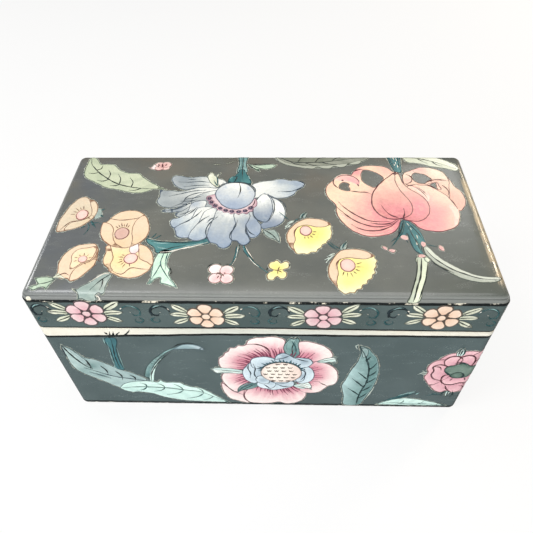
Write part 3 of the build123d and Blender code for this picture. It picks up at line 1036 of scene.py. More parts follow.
# %% [markdown]
# ## Leaves and the teal branch on the left of the top
# They pass under the blossoms, so they lie on the lowest level. The grey one runs down over the front
# shoulder.

# %% Leaves under the peach blossoms
jagged = Motif("jagged_leaf", on_lid)
jagged.patch("-121.8 -49!, -118 -48, -113 -48, -110.2 -49, -110.6 -50.5, -112 -54, -112.8 -57.3!, -115 -55, "
    "-117 -55.5, -119 -57, -122.2 -56, -123 -55!, -120.5 -54, -118.4 -53, -119.5 -51.5", SAGE_GREEN,
    "-110.4 -49.8, -122 -53")
jagged.patch("-112.6 -48.6, -108 -48.8, -104 -49.8, -101 -50.8!, -104 -49.2, -107.6 -46.6, -109.8 -44.4!, "
    "-110.8 -46.6", IVORY, "-112 -48.6, -102 -50.4", halo=False)
jagged.stroke("-110 -49.6, -114 -52, -118 -53", INK, 0.45)
jagged.make("lid")

grey = Motif("grey_shoulder_leaf", on_lid)
grey.patch("-80.2 -46.5, -82 -45, -85 -45, -88 -47.2, -90 -50, -92.5 -52.2, -95 -54, -97 -56.2, -99.2 -56!, "
    "-96.5 -58, -95.6 -60, -96.8 -62.8!, -94 -61.6, -92 -63, -88 -63.4, -86 -62, -86.2 -59.4, -85 -58.5, "
    "-83.2 -59.2, -81.6 -58, -81.8 -55, -81.4 -51.5, -80.6 -48.5", GREY_LEAF,
    "-81.5 -46, -85 -49.4, -89.8 -57, -92 -62.6", washes=[(-83, -53, 3.5, 0.7)])
grey.strokes("-81.5 -46, -85 -49.4, -87.6 -53, -89.8 -56.8; -84.6 -49.4, -84.2 -53, -84.6 -56.6", INK, 0.5,
    taper=(0.1, 0.6))
grey.strokes("-82 -45.4, -85 -45.6, -88 -48, -91 -51.4; -86.4 -59.6, -84.6 -60.6, -84.4 -62, -86 -62.4",
    CHALK, 0.7, taper=(0.1, 0.4))
grey.make("lid")

fork = Motif("mint_forked_leaf", on_lid)
fork.patch("-57.6 -28.4, -51.6 -27.8, -52.2 -34.7, -51.9 -39.1, -49.7 -43, -50.2 -44.7, -48.6 -48, "
    "-46.3 -51.3, -44.2 -54.8!, -48 -53.8, -51.3 -52.4, -53.6 -51.9, -54.7 -48, -56.9 -49.1, -58.6 -51.9, "
    "-61 -52.8!, -59.7 -48, -59.9 -43.6, -60.2 -38, -59.6 -33.6", MINT, "-55 -30, -56 -38, -45 -54")
fork.strokes("-55.2 -29.8, -55.8 -38, -52.4 -44.7, -45.8 -53.6; -55.8 -38.4, -57.2 -44, -59.4 -50; -53 -30, "
    "-53.4 -36, -52.6 -42", TEAL_LINE, 0.45, taper=(0.1, 0.5))
fork.strokes("-50.4 -40.8, -49 -43.6; -49.6 -45.6, -48.6 -43.8", INK, 0.5)
fork.make("lid")

branch = Motif("teal_branch", on_lid)
branch.patch("-67.6 -18.6, -61.5 -20.1, -54.6 -20.7, -46.9 -21.1, -39.2 -20.2, -31 -18.4, -30 -21.3, "
    "-36.9 -24.2, -43.1 -26.1, -48.5 -27.8, -52.3 -30, -57 -30.6, -60 -29.8, -61.5 -26.3, -66 -22.5", TEAL,
    "-30 -20, -66 -20", 0)
branch.strokes("-62.3 -22.1, -58 -22.4, -53 -22.6; -45.4 -24.9, -39 -23.4, -33.1 -21.6; -60 -25.4, "
    "-57 -26.2, -53.4 -26.8", GLINT, 0.6, 1)
branch.strokes("-57.6 -29.4, -52 -28.8, -46 -26.6, -38 -24.2, -31.6 -21.4", CHALK, 0.8, 1)
branch.strokes("-64 -21, -56 -21.4, -46 -22.2, -34 -20.4; -60 -28, -56 -27.6, -50 -25.4, -44 -24", INK, 0.4,
    1)
branch.strokes("-62 -14.6, -63 -16.4, -64.6 -18.6; -59 -16, -61.2 -18, -63 -19.4; -66.6 -16.4, -66 -18.4",
    TEAL_LINE, 0.7, 0)
branch.make("lid")

calyx = Motif("ear_blossom_calyx", on_lid)
calyx.patch("-101.2 6.4, -99 6.2, -98 4, -97.2 0.6, -98.4 -1.9, -100.8 -2.6, -102 1", GREY_LEAF,
    "-101 1, -97 2")
calyx.strokes("-103 -4, -101 -6.2, -98 -5.8, -95.6 -7.2; -104 -6.4, -102.4 -10, -102.8 -13, -104 -16; "
    "-98.6 5, -96.6 6.4; -98 0.6, -95.8 -0.8; -105 -8.6, -107 -10.4; -102 -6, -99.8 -8.2, -98.4 -10",
    TEAL_LINE, 0.9, 0, taper=(0.2, 0.7))
calyx.make("lid")

# %% [markdown]
# ## The blue blossom
# The largest flower of the top hangs from a teal stem. Wing petals spread on either side of a blue-white dome
# with a beaded collar, and a ruffled skirt of petals opens towards the front. The skirt is painted petal by
# petal, so that each one fades from white at the collar to blue at its own edge.

# %% Blue blossom: wings, skirt and side petals
blue = Motif("blue_blossom", on_lid)
blue.patch("-66.5 24.5, -63.1 23.7, -58.5 23.7, -54.6 22.9, -50 23.7, -44.6 26.2, -30 27, -28 19.8, "
    "-36.9 12, -41.4 9, -44.6 13, -46.9 12.2, -50 9.1, -54.6 7.5, -60 7.5, -63.8 9.1, -65.8 11.4, "
    "-66.8 14.1, -65.8 17.5, -66.2 21.4", BLUE_MIST, "-33 22, -50 17, -66 14", 0, washes=[(-63, 21, 4, 0.6),
    (-48, 12, 5, 0.8), (-57, 10, 4, 0.5), (-39, 14, 4, 0.4), (-62, 12, 3, 0.4)])
blue.patch("-44 14.2, -48 12, -51 8.8, -55 7, -60 6.6, -62.6 4.4, -57.7 3, -53.5 3.4, -50 3.6, -44 6, "
    "-40 10", BLUE_WING, "-42 11, -62 5", 0, washes=[(-52, 6, 4, 0.8)])
blue.patch("-46 14, -38 5, -30 7, -28 24, -38 22", BLUE_MIST, "-30 22, -44 8", 0, halo=False,
    washes=[(-37, 12, 4, 0.6)])
blue.patch("-54.2 2.4!, -52.7 -0.4, -47.7 -0.4, -43.8 2.9, -40.8 7, -40 14.5, -43.5 13, -47 8, -50.6 4.6",
    BLUE_MIST, "-40.5 12, -53 0.6", 1, washes=[(-49, 2, 4, 0.25)])
blue.patch("-60 37.5, -60.8 35.2, -59.6 31.4, -57.7 28.3, -54.6 25.8, -50.8 24.1, -45.4 25.6, -37.7 26.4, "
    "-30 26, -27.7 29.5, -24.6 31, -26.2 33.3, -29.2 35.2, -35.4 36, -39.2 37.7, -43.8 37.5, -47.7 36.8, "
    "-51.5 37.2, -55.4 38.3, -58.5 38.5", BLUE_WING, "-28 30, -44 31, -60 34", 1, washes=[(-52, 35, 6, 0.6),
    (-46, 30, 3, 0.4)])
skirt = [("-44 13, -48 2, -51.5 -1.3, -54.6 -2.1, -55.8 -4.8, -55 -7.8, -52.7 -10.5, -49 -9, -43 -3, -37 6, "
    "-36 14", 1),
    ("-40 8, -45 -3.6, -50.5 -7.6, -52.7 -10.5, -51.5 -13.2, -50.4 -16.7, -47.7 -18.2, -43.5 -18.2, "
    "-40 -13, -36 -4, -32 8", 2),
    ("-35 6, -39.5 -6, -43.2 -14, -43.5 -18.2, -41.9 -19.8, -39.2 -20.8, -35.4 -19.8, -33.5 -18.6, -32 -11, "
    "-29.5 2, -29 8", 3),
    ("-31.5 4, -33.4 -6, -33.9 -12, -33.2 -17, -30.8 -21.7, -26.9 -23.2, -25.4 -25.5, -22.3 -26.5, "
    "-19.6 -24.8, -18.1 -21.7, -18.6 -16, -17.4 -9, -16 2, -20 6", 2),
    ("-18.5 3, -17.6 -8, -19.3 -15, -18.3 -20.6, -15.8 -20.5, -14.2 -22.8, -11.9 -24, -9.2 -22.8, "
    "-7.8 -20.4, -9.2 -16, -10.8 -10, -9 2, -12 6", 3),
    ("-11.4 4, -11 -10, -9.8 -15.4, -8 -18, -5.4 -17.8, -3.1 -15.5, -1.9 -11.7, -2.3 -7.1, -3.8 -4.4, -6 1, "
    "-8 5", 2)]
shading = [(-34, -11, 3, 0.6), (-25, -14, 4, 0.3), (-17, -12, 3, 0.6), (-8, -8, 4, 0.7), (-12, -5, 3, 0.4),
    (-31, -20, 3, 0.4), (-5, -3, 4, 0.5)]
left_shading = [(-43, 11, 5, 0.7), (-50, -9, 3, 0.4), (-36, -12, 3, 0.4)]
at_left, at_right = (SKIRT_WHITE, (-38, 10), left_shading), (BLUE, (-20, 14), shading)
for number, (outline, level) in enumerate(skirt):
    finish, root, shades = at_left if number < 3 else at_right
    lower_edge = picked(outline)[3:-3]
    blue.patch(outline, finish, [root, tuple(np.mean(lower_edge, 0))], level, halo=level < 3, washes=shades)
blue.patch("-0.4 21.4, 3.8 17.5, 7.3 15.2, 10 11.4, 11.9 5.2, 11.9 0.6, 10.4 -4.8, 6.9 -8.2, 2.3 -9.8, "
    "-1.5 -10.5, -2.9 -7.4, -1 -4, -3 8", BLUE_DEEP, "9 9, 1 -10", 1, washes=[(5, -5, 4, 0.5)])
blue.patch("-5 16.8, -7.3 9.8, -7.8 4.5, -6.9 -0.2, -3.8 -4, 0.8 -5.2, 3.1 -0.9, 4.5 5.2, 4.2 11.4, "
    "2.7 16.8, -0.4 21.4!, -3 20", BLUE_DEEP, "-2.5 21, -1.5 -4.5", 4, halo=False)
blue.patch("-9.6 29.1, -6.2 31.4, -2.3 32.9, 3.1 33.7, 6.9 34.8, 10.8 35.1, 14.6 33.7, 18.5 33.7, "
    "22.3 31.8, 24.4 29.8!, 22.7 26.8, 19.6 24.1, 16.9 19.8, 13.8 17.5, 10 16.4, 5.8 16.4, 2.3 18.3, "
    "-0.8 19.6, -4 17, -7 16, -7.3 25.2", SKIRT_WHITE, "-8 26, 23 28", 2, washes=[(9, 33, 3.5, 0.7),
    (16, 32, 4, 0.5), (20, 27, 4, 0.4)])
blue.strokes("-38.1 4.8, -41.5 -0.2, -46.2 -4.8, -50 -7.1; -33.1 0.2, -36.9 -3.2, -39.2 -7.1; -28.1 -0.5, "
    "-31.5 -4.8, -33.8 -10.9, -33.5 -15.5, -31.5 -19.8, -30 -22.5; -16.2 -3.6, -17.3 -9.4, -19.6 -14.8, "
    "-19.6 -18.6, -16.2 -20.9; -11.2 -9.4, -10.8 -14, -8.5 -17.5; -41 8, -44.6 3, -48 0; -10.4 -10, "
    "-8.6 -13.6, -5.4 -16; -29.6 -0.8, -32.4 -3, -34 -6", STEEL, 0.5, 4)
blue.strokes("-36 22, -41.5 21.4, -48.5 17.5, -50.8 12.2, -56.9 7.9; -44.6 13.7, -50 8.3, -56.9 5.2, "
    "-62.3 4.5; -38 24, -46 22.8, -54 20, -60 18; -40 18, -46 16, -50 15; -34 31, -42 32.4, -50 31.6, "
    "-56 32; -36 28.6, -44 28.4, -52 27; -43.4 6, -47 3, -51 1.2; -44 12, -48 10.6, -52 11; -42 14.6, "
    "-47 13.6, -52 13.4; -45 34.4, -50 34.6", STEEL, 0.45, 2)
blue.strokes("23.8 29.8, 20.8 26, 15.4 22.9, 6.9 22.5; 20 33, 22.6 31.6, 24 29.9; 5.6 16.4, 10.6 11.6, "
    "12.6 5; 0.8 20.6, 4.4 14, 5.2 8, 4.4 2, 2 -4", STEEL, 0.45, 5)
blue.strokes("-7.8 6, -7 0.4, -4.4 -3.2, -1 -4.8", STEEL, 0.5, 5)

# %% Blue blossom: collar with its beads, dome, calyx and stem
blue.patch("-36.6 17.4, -36.2 14.6, -35 13.8, -34.8 11.4, -33 10.4, -32 8, -29.8 7.4, -28.6 5.2, -26.2 4.8, "
    "-24.8 3, -22.2 3.2, -20.4 1.6, -18.2 2.4, -16 1, -13.6 2.4, -11 1.6, -9.4 3.6, -7.4 4, -7 7, -5.4 9, "
    "-5.8 15.2, -9 18, -20 20, -32 20", LILAC, "-21 16", 5, halo=False)
beads = [(-34.6, 15.8), (-33, 12.3), (-30.5, 9.2), (-27.3, 6.8), (-23.8, 5), (-20, 4), (-16, 3.7),
    (-12.2, 4.6), (-8.9, 7.2)]
for x, y in beads:
    tilt = math.degrees(math.atan2(y - 18, x + 19)) + 90
    blue.patch(oval(x, y, 2.3, 2.0, tilt, 9), LILAC, [(x, y)], 6, halo=False)
    blue.patch(oval(x, y, 1.85, 1.55, tilt, 9), BEAD, [(x, y)], 7, halo=False)
    blue.stroke([(x - 0.3, y + 0.3), (x + 0.2, y + 0.6)], CHALK, 0.4, 8)
blue.strokes("-6.6 14.6, -7.2 11, -8.4 8.6", PLUM, 0.6, 6)
blue.patch("-25.4 30.2, -29.2 26.8, -31.5 22.9, -31.2 17.5, -29.2 13.3, -26.2 9.1, -22.3 6.4, -16.9 5.6, "
    "-12.3 7.5, -9.2 10.6, -7.3 14.5, -6.5 19.1, -7.3 23.7, -9.6 27.5, -13.1 30.2, -19.2 31.2", BLUE_DOME,
    "-17 31, -19 6", 7, halo=False, washes=[(-19, 10, 6, 0.6), (-11, 26, 3, 0.3)])
blue.stroke("-17.3 30.6, -16.2 26, -16.2 21.4, -17.3 16.4", INK, 0.5, 8)
blue.patch("-19 62.8, -18.6 52, -18.4 41, -13.6 41, -13.6 52, -13.2 62.8", TEAL_PALE, "-16 62, -16 42", 2)
blue.patch("-24.2 31.4, -23.8 35.2, -20.8 38.3, -18.6 42, -18 44.6, -14.4 44.6, -13.4 42, -11.2 36.8, "
    "-9.6 31.8, -10 28.9, -14 31, -20.8 31.4", TEAL, "-16.5 44, -16 38, -16 30", 3)
blue.patch("-24.6 31.2, -24.2 35.2, -21.4 38, -18.8 37, -19.4 33, -20.8 31", TEAL, "-21 31, -22 38", 4,
    halo=False)
blue.strokes("-17.8 60, -17.6 52, -17.4 44; -14.6 58, -14.4 48, -13.8 41; -11.8 38.4, -11 35; -23.4 35.4, "
    "-21.8 37.4", GLINT, 0.5, 4)
blue.strokes("-18.9 37.6, -19.8 34, -20.6 31.4; -16.2 60, -16 50, -15.8 40, -15 33", INK, 0.45, 5)
blue.patch("-37.3 40.6, -36.2 42.2, -34.2 41, -33.1 38.3, -31.5 40.2, -30 41.4, -30.4 39.1, -31.2 35.2, "
    "-30.8 31.4, -29.2 27.5, -30.8 26.2, -33.1 27.9, -35.4 30.6, -37.3 34.5, -38.1 37.5", IVORY,
    "-29.6 27, -34 34, -36 41", 3)
blue.strokes("-29.8 27.4, -32 30, -33.6 33.6; -31 28.6, -31 33, -32.6 38", TEAL_LINE, 0.6, 4)
blue.make("lid")

# %% Leaves and stems round the blue blossom
small = Motif("small_leaves_by_blue_blossom", on_lid)
small.patch("-1.5 -10.5!, 1.5 -11.3, 5.4 -10.9, 7.3 -13.2, 8.5 -17.1, 8.8 -22!, 5.8 -19.4, 2.3 -17.8, "
    "0 -15.5, -1.2 -12.5", GREY_LEAF, "-1.2 -10.9, 8.6 -21.5")
small.stroke("-1.2 -10.9, 3.8 -14.8, 8.1 -20.9", INK, 0.5)
small.patch("-13.1 50.3, -11.4 48.1, -8.7 45.3, -6.4 43.3, -4 42.7!, -5.3 45.3, -0.9 45.1, 3.6 46.4, "
    "6.4 49.4!, 3.6 50.6, -2 50, -7.6 49.6", SAGE_GREEN, "-13 50, -5 47.6, 6 49")
small.strokes("-12.6 49.6, -9 46.4, -5 43.6; -9.6 48.8, -6 46.6, -3 45.8", INK, 0.42)
small.stroke("-12.8 51, -6 50.4, 0 50.6, 5.6 50", INK, 0.5, 0)
small.strokes("-14.2 -23.4, -15.3 -30, -16.4 -35.4, -19.4 -40.6; -11.8 -23.6, -9.4 -30, -5.6 -36, "
    "-1.6 -40.2, 2.6 -44", TEAL, 1.5, 0, taper=(0.05, 0.8))
small.strokes("-14.6 -23.8, -14.8 -30, -15.6 -35, -17 -38.6; -10.6 -24.6, -8.6 -29, -5.6 -34; -8.6 -32.4, "
    "-5 -37.4, -2.4 -40", CHALK, 0.4, 1)
small.strokes("-14 -26, -15.2 -33, -17 -37; -10 -28, -7 -34, -3.6 -38.4", TEAL_LINE, 0.6, 1)
small.strokes("-28 55.6, -24 57, -20 58.6; -28 50.6, -24 52.4, -20 55; -36 50.4, -30 49.8", OLIVE_LEAF, 0.9,
    0)
small.make("lid")

# %% [markdown]
# ## Leaves along the back edge
# A long grey-green leaf lies along the back edge and bends down over the shoulder, and a pale one fills the
# corner.

# %% Back-edge leaves
back = Motif("back_edge_leaves", on_lid)
back.patch("4.2 61.5, 7.3 54.2, 14 49.8, 20.7 47.6, 28.4 46.4, 37.3 46.7, 46.2 48.1, 54 50.3, 61.8 53.1, "
    "66.2 56.4, 67.6 60.4, 60 62.9, 40 63.1, 16 63", OLIVE_LEAF, "5 60, 15.1 53.6, 30.7 52.6, 48.4 55.2, "
    "67 59.6")
back.patch("5 60, 6.4 54.4, 10.4 50.6, 15 48.6, 21 46.8, 26 45.8, 30.2 45.6, 32 47.4, 35.6 46, 41 46.2, "
    "43.4 48.2, 46.6 47, 51 48.4, 52.8 50.4, 55.6 50, 61 52, 61.6 54, 52 51.6, 44 50.2, 36 49.2, 29 48.8, "
    "20 50, 12 53, 8 56.4", IVORY_FAR, "6 58, 20 49.6, 42 49.6, 61 54", 1, halo=False)
back.strokes("4.6 60.4, 15.1 53.4, 30.7 52.3, 48.4 55, 66.4 59.4; 14 54, 18 51, 24 49.4; 24 52.4, 29 49.6, "
    "35 48.6; 35 52.8, 41 50.6, 47 50.2; 20 53, 22 57, 26 60; 31 52.4, 34 57, 39 60; 42 53.8, 46 58, 51 61",
    INK, 0.5, taper=(0.1, 0.6))
back.patch("86.5 62.5, 89 56, 91.4 52.4, 95.5 51.6, 100.2 50.5, 103.2 48.9, 107.8 47.4, 113.2 46.2, "
    "117.8 44.3, 120.9 43.2, 122.8 45.5, 121.4 50, 117.6 53.6, 111.4 57.6, 103 62, 94 63", IVORY,
    "87 60, 104 55, 121 45.6")
back.strokes("88 60, 96 57.6, 106 54, 114 50, 121 45.8; 98 57, 101 53.6, 104 51.4; 107 53.6, 109 50.6, "
    "113 48.4", INK, 0.45, taper=(0.1, 0.6))
back.make("lid")

# %% [markdown]
# ## Yellow blossoms and two small flowers
# Each yellow blossom is folded: inside it is clear yellow, and where the petal turns over it shows its peach
# back.

# %% Yellow blossoms
def yellow_blossom(name, whole, back_side, middle, lashes, shade):
    flower = Motif(name, on_lid)
    flower.patch(whole, GOLD, [middle[:2]], 0, washes=shade)
    folded = picked(back_side)
    washes = [(x + 2, y, 5, 0.5) for x, y in folded[-8:-6]]
    flower.patch(back_side, CREAM_PEACH, [tuple(np.mean(folded, 0))], 1, halo=False, washes=washes)
    heart(flower, *middle, lashes, 3, PALE_HEART)
    return flower


first = yellow_blossom("yellow_blossom_left", "24.6 -1.1, 28.4 -1.3, 32.3 -1.9, 35.7 -3.6, 37.2 -5.6, "
    "38.4 -7.6, 38 -10.2, 38.6 -12.6, 38 -15.4, 37.5 -18.1, 35.8 -19.6, 35 -21.9, 32.6 -22.9, 31.9 -25.2, "
    "30 -26.3, 29 -28.9, 26.2 -28.9, 24.4 -30.4, 21.2 -30.2, 18.4 -30.4, 15.7 -26.9, 13.8 -23.6, "
    "12.3 -19.1, 12.1 -15.8, 13.1 -11.9, 15.1 -8.6, 17.3 -5.6, 20.7 -3", "38 -6.4, 35.1 -8.6, 29.6 -9.1, "
    "23.4 -7.6, 19.4 -9.1, 17.5 -13.6, 17.7 -19.1, 16.6 -24.7, 18.2 -29.8, 15.7 -26.9, 13.8 -23.6, "
    "12.4 -19.1, 12.2 -15.8, 13.2 -11.9, 15.2 -8.6, 17.4 -5.7, 20.7 -3.1, 24.6 -1.2, 28.4 -1.4, 32.3 -2, "
    "35.7 -3.7", (23.4, -11.9, 3.7, 4.3), (-100, -10, 5), [(29, -16, 5, 0.9), (24, -20, 4, 0.5),
    (33, -11, 4, 0.4)])
first.strokes("18.8 -9, 17 -12, 16.6 -16", BROWN, 0.42, 2)
first.strokes("17 -3.4, 13.6 -6.4, 11.6 -10.4; 16 -3.6, 12.6 -5.8; 14.8 -7.4, 12.6 -9.4; 13 -7.4, 11.6 -8.4",
    PALE, 1.1, 0, taper=(0.2, 0.7))
first.strokes("20.4 -1.6, 21.6 1.6, 24.2 4.4; 22.4 -1, 23.6 1.6, 24.8 3.4", GREY_LEAF, 1.5, 0,
    taper=(0.1, 0.6))
first.strokes("20.6 -1.8, 22 1.6, 23.6 3.6; 8 4, 11 0.4, 14 -3; 16.6 -4.4, 18.4 -2.4, 20.6 -1.4", TEAL_LINE,
    0.5, 1)
first.make("lid")

second = yellow_blossom("yellow_blossom_right", "42.3 -26.9, 46.2 -26.1, 50.7 -25.8, 55.1 -26.9, "
    "58.4 -29.1, 60.7 -31.3, 60.4 -33, 61.6 -34.8, 60.4 -37.2, 60.6 -39.4, 59.2 -41.2, 59.6 -43.6, "
    "57.8 -45, 57.2 -47.8, 55 -48.8, 54 -51.2, 52 -52, 51.2 -54.6, 48.8 -55.2, 47.4 -57.4, 45.1 -57.4, "
    "42.3 -58.2, 40.1 -56.7, 37.9 -53, 36.2 -50.2, 34.6 -46.9, 34.3 -41.3, 35.4 -36.9, 37.9 -32.4, "
    "40.1 -29.1", "60 -31.2, 56.2 -33.6, 50.7 -33.8, 45.1 -33.1, 41.4 -34.7, 40 -39.1, 40 -44.7, "
    "38.9 -50.2, 39.5 -56, 37.9 -53, 36.2 -50.2, 34.7 -46.9, 34.4 -41.3, 35.5 -36.9, 38 -32.4, 40.1 -29.2, "
    "42.3 -27, 46.2 -26.2, 50.7 -25.9, 55.1 -27, 58.4 -29.2", (45.1, -38.3, 4.3, 4.9), (-120, 10, 7),
    [(53, -40, 5, 0.9), (44, -50, 4, 0.6), (50, -47, 4, 0.4)])
second.strokes("41.6 -33.6, 39.4 -36.6, 38.8 -41", BROWN, 0.42, 2)
second.strokes("38.4 -30.4, 36 -33, 33.6 -36.6; 37.6 -30, 34.4 -32; 36 -32.6, 33 -34.4; 38.8 -29.6, 37 -30",
    PALE, 1.1, 0, taper=(0.2, 0.7))
second.strokes("42.6 -27.4, 43.4 -23.6, 46.2 -19.8; 44 -26.6, 45.4 -23, 46.4 -21", GREY_LEAF, 1.6, 0,
    taper=(0.1, 0.6))
second.strokes("42.8 -27, 44.2 -23, 45.8 -20.4; 34.6 -20.6, 37.6 -24.4, 41.4 -28; 36.6 -21, 39.6 -24.4, "
    "42.4 -26.4", TEAL_LINE, 0.6, 1)
second.make("lid")

# %% Two small four-petalled flowers
little = Motif("small_pink_flower", on_lid)
for (x, y), wide, petal, level in (((-25.6, -41.6), 4.0, WHITE, 0), ((-19.6, -42.4), 3.9, WHITE, 1),
        ((-25.2, -48), 3.9, WHITE, 1), ((-19.2, -48.2), 3.8, WHITE, 2)):
    little.patch(oval(x, y, wide, wide * 0.95, 20, 12), petal, [(-22.4, -45), (x, y)], level,
        washes=[(x, y - 1, 3, 0.9 if level else 0)])
little.strokes("-22.6 -45, -24.4 -44.4, -24.6 -46; -21.6 -45.2, -20.6 -47; -23.4 -46.4, -24.2 -48.2; "
    "-22.2 -46.2, -22 -48.4; -21 -44.4, -19.8 -44.6", BROWN, 0.45, 3)
little.strokes("-30.2 -40.4, -28.6 -38.6, -26.4 -37.4; -24 -37.4, -22.6 -38.8; -29 -48.6, -27.4 -51; "
    "-20.4 -38, -18.4 -38.2", INK, 0.5, 0)
little.make("lid")
buttercup = Motif("small_yellow_flower", on_lid)
buttercup.patch("3.4 -41, 2.4 -38.4, 4 -36, 5.4 -35.6, 7 -34.4, 8.6 -36, 9.4 -37, 11 -35.6, 13.2 -35.6, "
    "14.2 -38, 13.4 -40.6, 10.8 -42, 12.6 -43.4, 12.8 -46, 10.8 -48.2, 8.6 -48, 7.4 -46.6, 5.8 -49, "
    "3.2 -49, 1.7 -46.6, 2.6 -43.8, 5 -42", GOLD, "7.6 -42", 0, washes=[(7, -42, 4, 0.5), (6, -38, 3, 0.4)])
buttercup.strokes("4.6 -41.6, 7.4 -42.2, 10 -41.4; 7.8 -42.2, 8.6 -39.6; 7.6 -42.4, 7.8 -45; 7.8 -42.4, "
    "10 -43.6", BROWN, 0.4, 1)
buttercup.strokes("13.6 -37.6, 14 -39.2; 1.8 -42, 2.4 -40.4", INK, 0.6, 1)
buttercup.make("lid")

# %% [markdown]
# ## The great bloom
# Peach at the tips and deep pink at the root, it hangs head down from a teal stem. Long petals curl over at
# the top and leave openings through which the ground shows, so two of its patches have real holes. The heart
# petal lies in front of all the others.

# %% Bloom: petals
bloom = Motif("great_bloom", on_lid)
bloom.patch("112.8 38.6, 115.4 33, 116.3 28.9, 119 24.3, 120.3 18.9, 120 13.5, 118.2 8.9, 114.8 5.3, 110 9, "
    "106 20, 105 30, 108 37", BLOOM_RING, "109 10, 115 34", 0, washes=[(109, 31, 4, 0.6), (113, 20, 5, 0.3),
    (117, 12, 4, 0.3)])
bloom.patch("85.3 36.6, 85.7 38.9, 87.1 41.6, 90.2 43.5, 94 45.5, 97.8 47.4, 101.7 47.4, 105.5 46.6, "
    "109.4 44.7, 112.5 41.6, 113.9 37.4, 114.2 32.8, 113 27, 112 20, 110 14, 100 12, 92 18, 86 26, 85 31",
    BLOOM_RING, "98 14, 99 46", 1, ["94.4 41.2, 92.5 39.7, 91.8 36.6, 92.8 33.5, 95.5 31.4, 98.2 31.2, "
    "100.5 33.4, 103 35, 101.5 37.4, 99 39.7, 96.7 40.6", "102 29.8, 104 31.2, 105.9 31.6, 106.4 28.9, "
    "106.9 25.1, 105.2 25.4, 103.4 27.8"], washes=[(96, 45, 4, 0.8), (90, 44, 3, 0.5), (101, 43, 3, 0.4),
    (88, 34, 3, 0.5), (106, 33, 4, 0.3)])
bloom.patch("87.1 28.2, 90.2 29.7, 95.5 29.7, 100.2 28.9, 104 25.8, 107.8 22, 110.2 18.9, 112.1 14.3, "
    "113.6 8.9, 114 3.5, 112.8 -1.8, 110.9 -6.5, 107.8 -9.5, 103.2 -11.5, 99.4 -12.5, 94.8 -12, 90.9 -11.1, "
    "87.8 -9.2, 85.5 -5.7, 82 -2.4!, 86 8", BLOOM_RIGHT, "81 -2, 98 28", 2, washes=[(103, 6, 7, 0.5),
    (97, -6, 9, 0.5)])
bloom.patch("109.4 11, 113.2 8.9, 113.6 3.5, 112.4 -1.8, 110.5 -6, 107.9 -9, 108.9 -4, 109.6 2", BLOOM_PALE,
    "110 9, 110 -7", 3, halo=False)
bloom.patch("83 42.4, 80.4 43, 78.6 45.5, 75.9 47.8, 72.5 48.9, 68.6 49.3, 64.8 49.3, 60.9 48.2, 57.1 45.5, "
    "54.8 42.4, 52.8 39.3, 49.4 38.9, 45.5 37.4, 42.5 35.1, 40.2 32.4, 37.8 29.7, 36.7 26.6, 36.2 23.2, "
    "36.7 19.3, 38.2 15.8, 40.2 12.8, 41.7 9.7, 41.5 4.3, 42.5 -0.3, 44.4 -4.5, 47.1 -8.8, 50.2 -12.2, "
    "54 -14.9, 58.6 -16.5, 63.2 -16.6, 67.8 -15.5, 72.5 -13.8, 75.5 -10.7, 77.5 -6.8, 79.2 -2!, 78 10, "
    "78 30", BLOOM_LEFT, "80 -4, 58 46", 1, ["62.1 43.9, 64.8 43.9, 67.8 42.4, 70.9 39.7, 73.2 35.5, "
    "71.3 32, 68.6 28.9, 66.7 27, 64.4 28.5, 62.1 30.5, 60.5 33.5, 59.9 37.4, 60.5 41.2",
    "48.2 31.6, 46.7 30.5, 45.5 28.2, 45.9 25.8, 48.2 24.3, 50.9 23.8, 51.3 25.8, 50.5 28.2, 51.3 29.7, "
    "49.8 31.2"], washes=[(57, 42, 5, 0.9), (76, 43, 6, 0.5), (69, 3, 7, 0.6), (66, 12, 6, 0.4),
    (56, -12, 6, 0.3), (72, -12, 5, 0.5), (62, 20, 4, 0.2)])
bloom.patch("42.4 34.6, 45 38.4, 48.6 40, 53 39.4, 56.6 36.8, 58.8 32.8, 57.2 27.6!, 55.4 30, 52.5 31.8, "
    "49.4 32.4, 46 33", BLOOM_PALE, "43 34, 57 28", 2, washes=[(53, 35, 4, 0.9), (57, 31, 3, 0.9),
    (47, 36, 3, 0.5)])
bloom.stroke("43 35.2, 46.4 38, 51 38.9, 55.6 36.6, 57.8 32.6, 57 28", PLUM, 0.5, 3)
bloom.patch(oval(47.6, 33.8, 1.0, 0.8, 0, 8), PLUM, "47.6 33.8", 3, halo=False)
bloom.patch("79 30.8, 79 27.4, 80.2 22.8, 82.2 18.2, 84 13.5, 84.4 8.9, 83.6 3.9, 81.4 1, 79.6 -1.9, "
    "84 -3.8, 87.8 -4.2, 92.1 -2.6, 95.2 0.8, 97.2 5.1, 97.8 9.7, 97.1 14.3, 94.8 18.9, 90.9 23.2, 87.5 27, "
    "85.5 31.2, 84.8 35.8, 84 39.7, 82.8 42!, 80 38", BLOOM_HEART, "80 -2, 83 40", 3,
    washes=[(91, 4, 6, 0.9), (92, 12, 5, 0.8), (88, 20, 4, 0.3)])
bloom.patch("88.8 28.4, 92 27.6, 94.8 26.4, 97.8 22.8, 99.6 18.9, 99 15.8, 97.3 13.7, 95.5 18.2, 93.2 22, "
    "90.9 25.8", BLOOM_PALE, "90 28, 98 15", 4, halo=False)
bloom.strokes("90.4 28.2, 93.8 24.6, 96.4 20, 97.6 15; 92.6 27.4, 95.8 23.6, 98 19.4", PLUM, 0.35, 5)
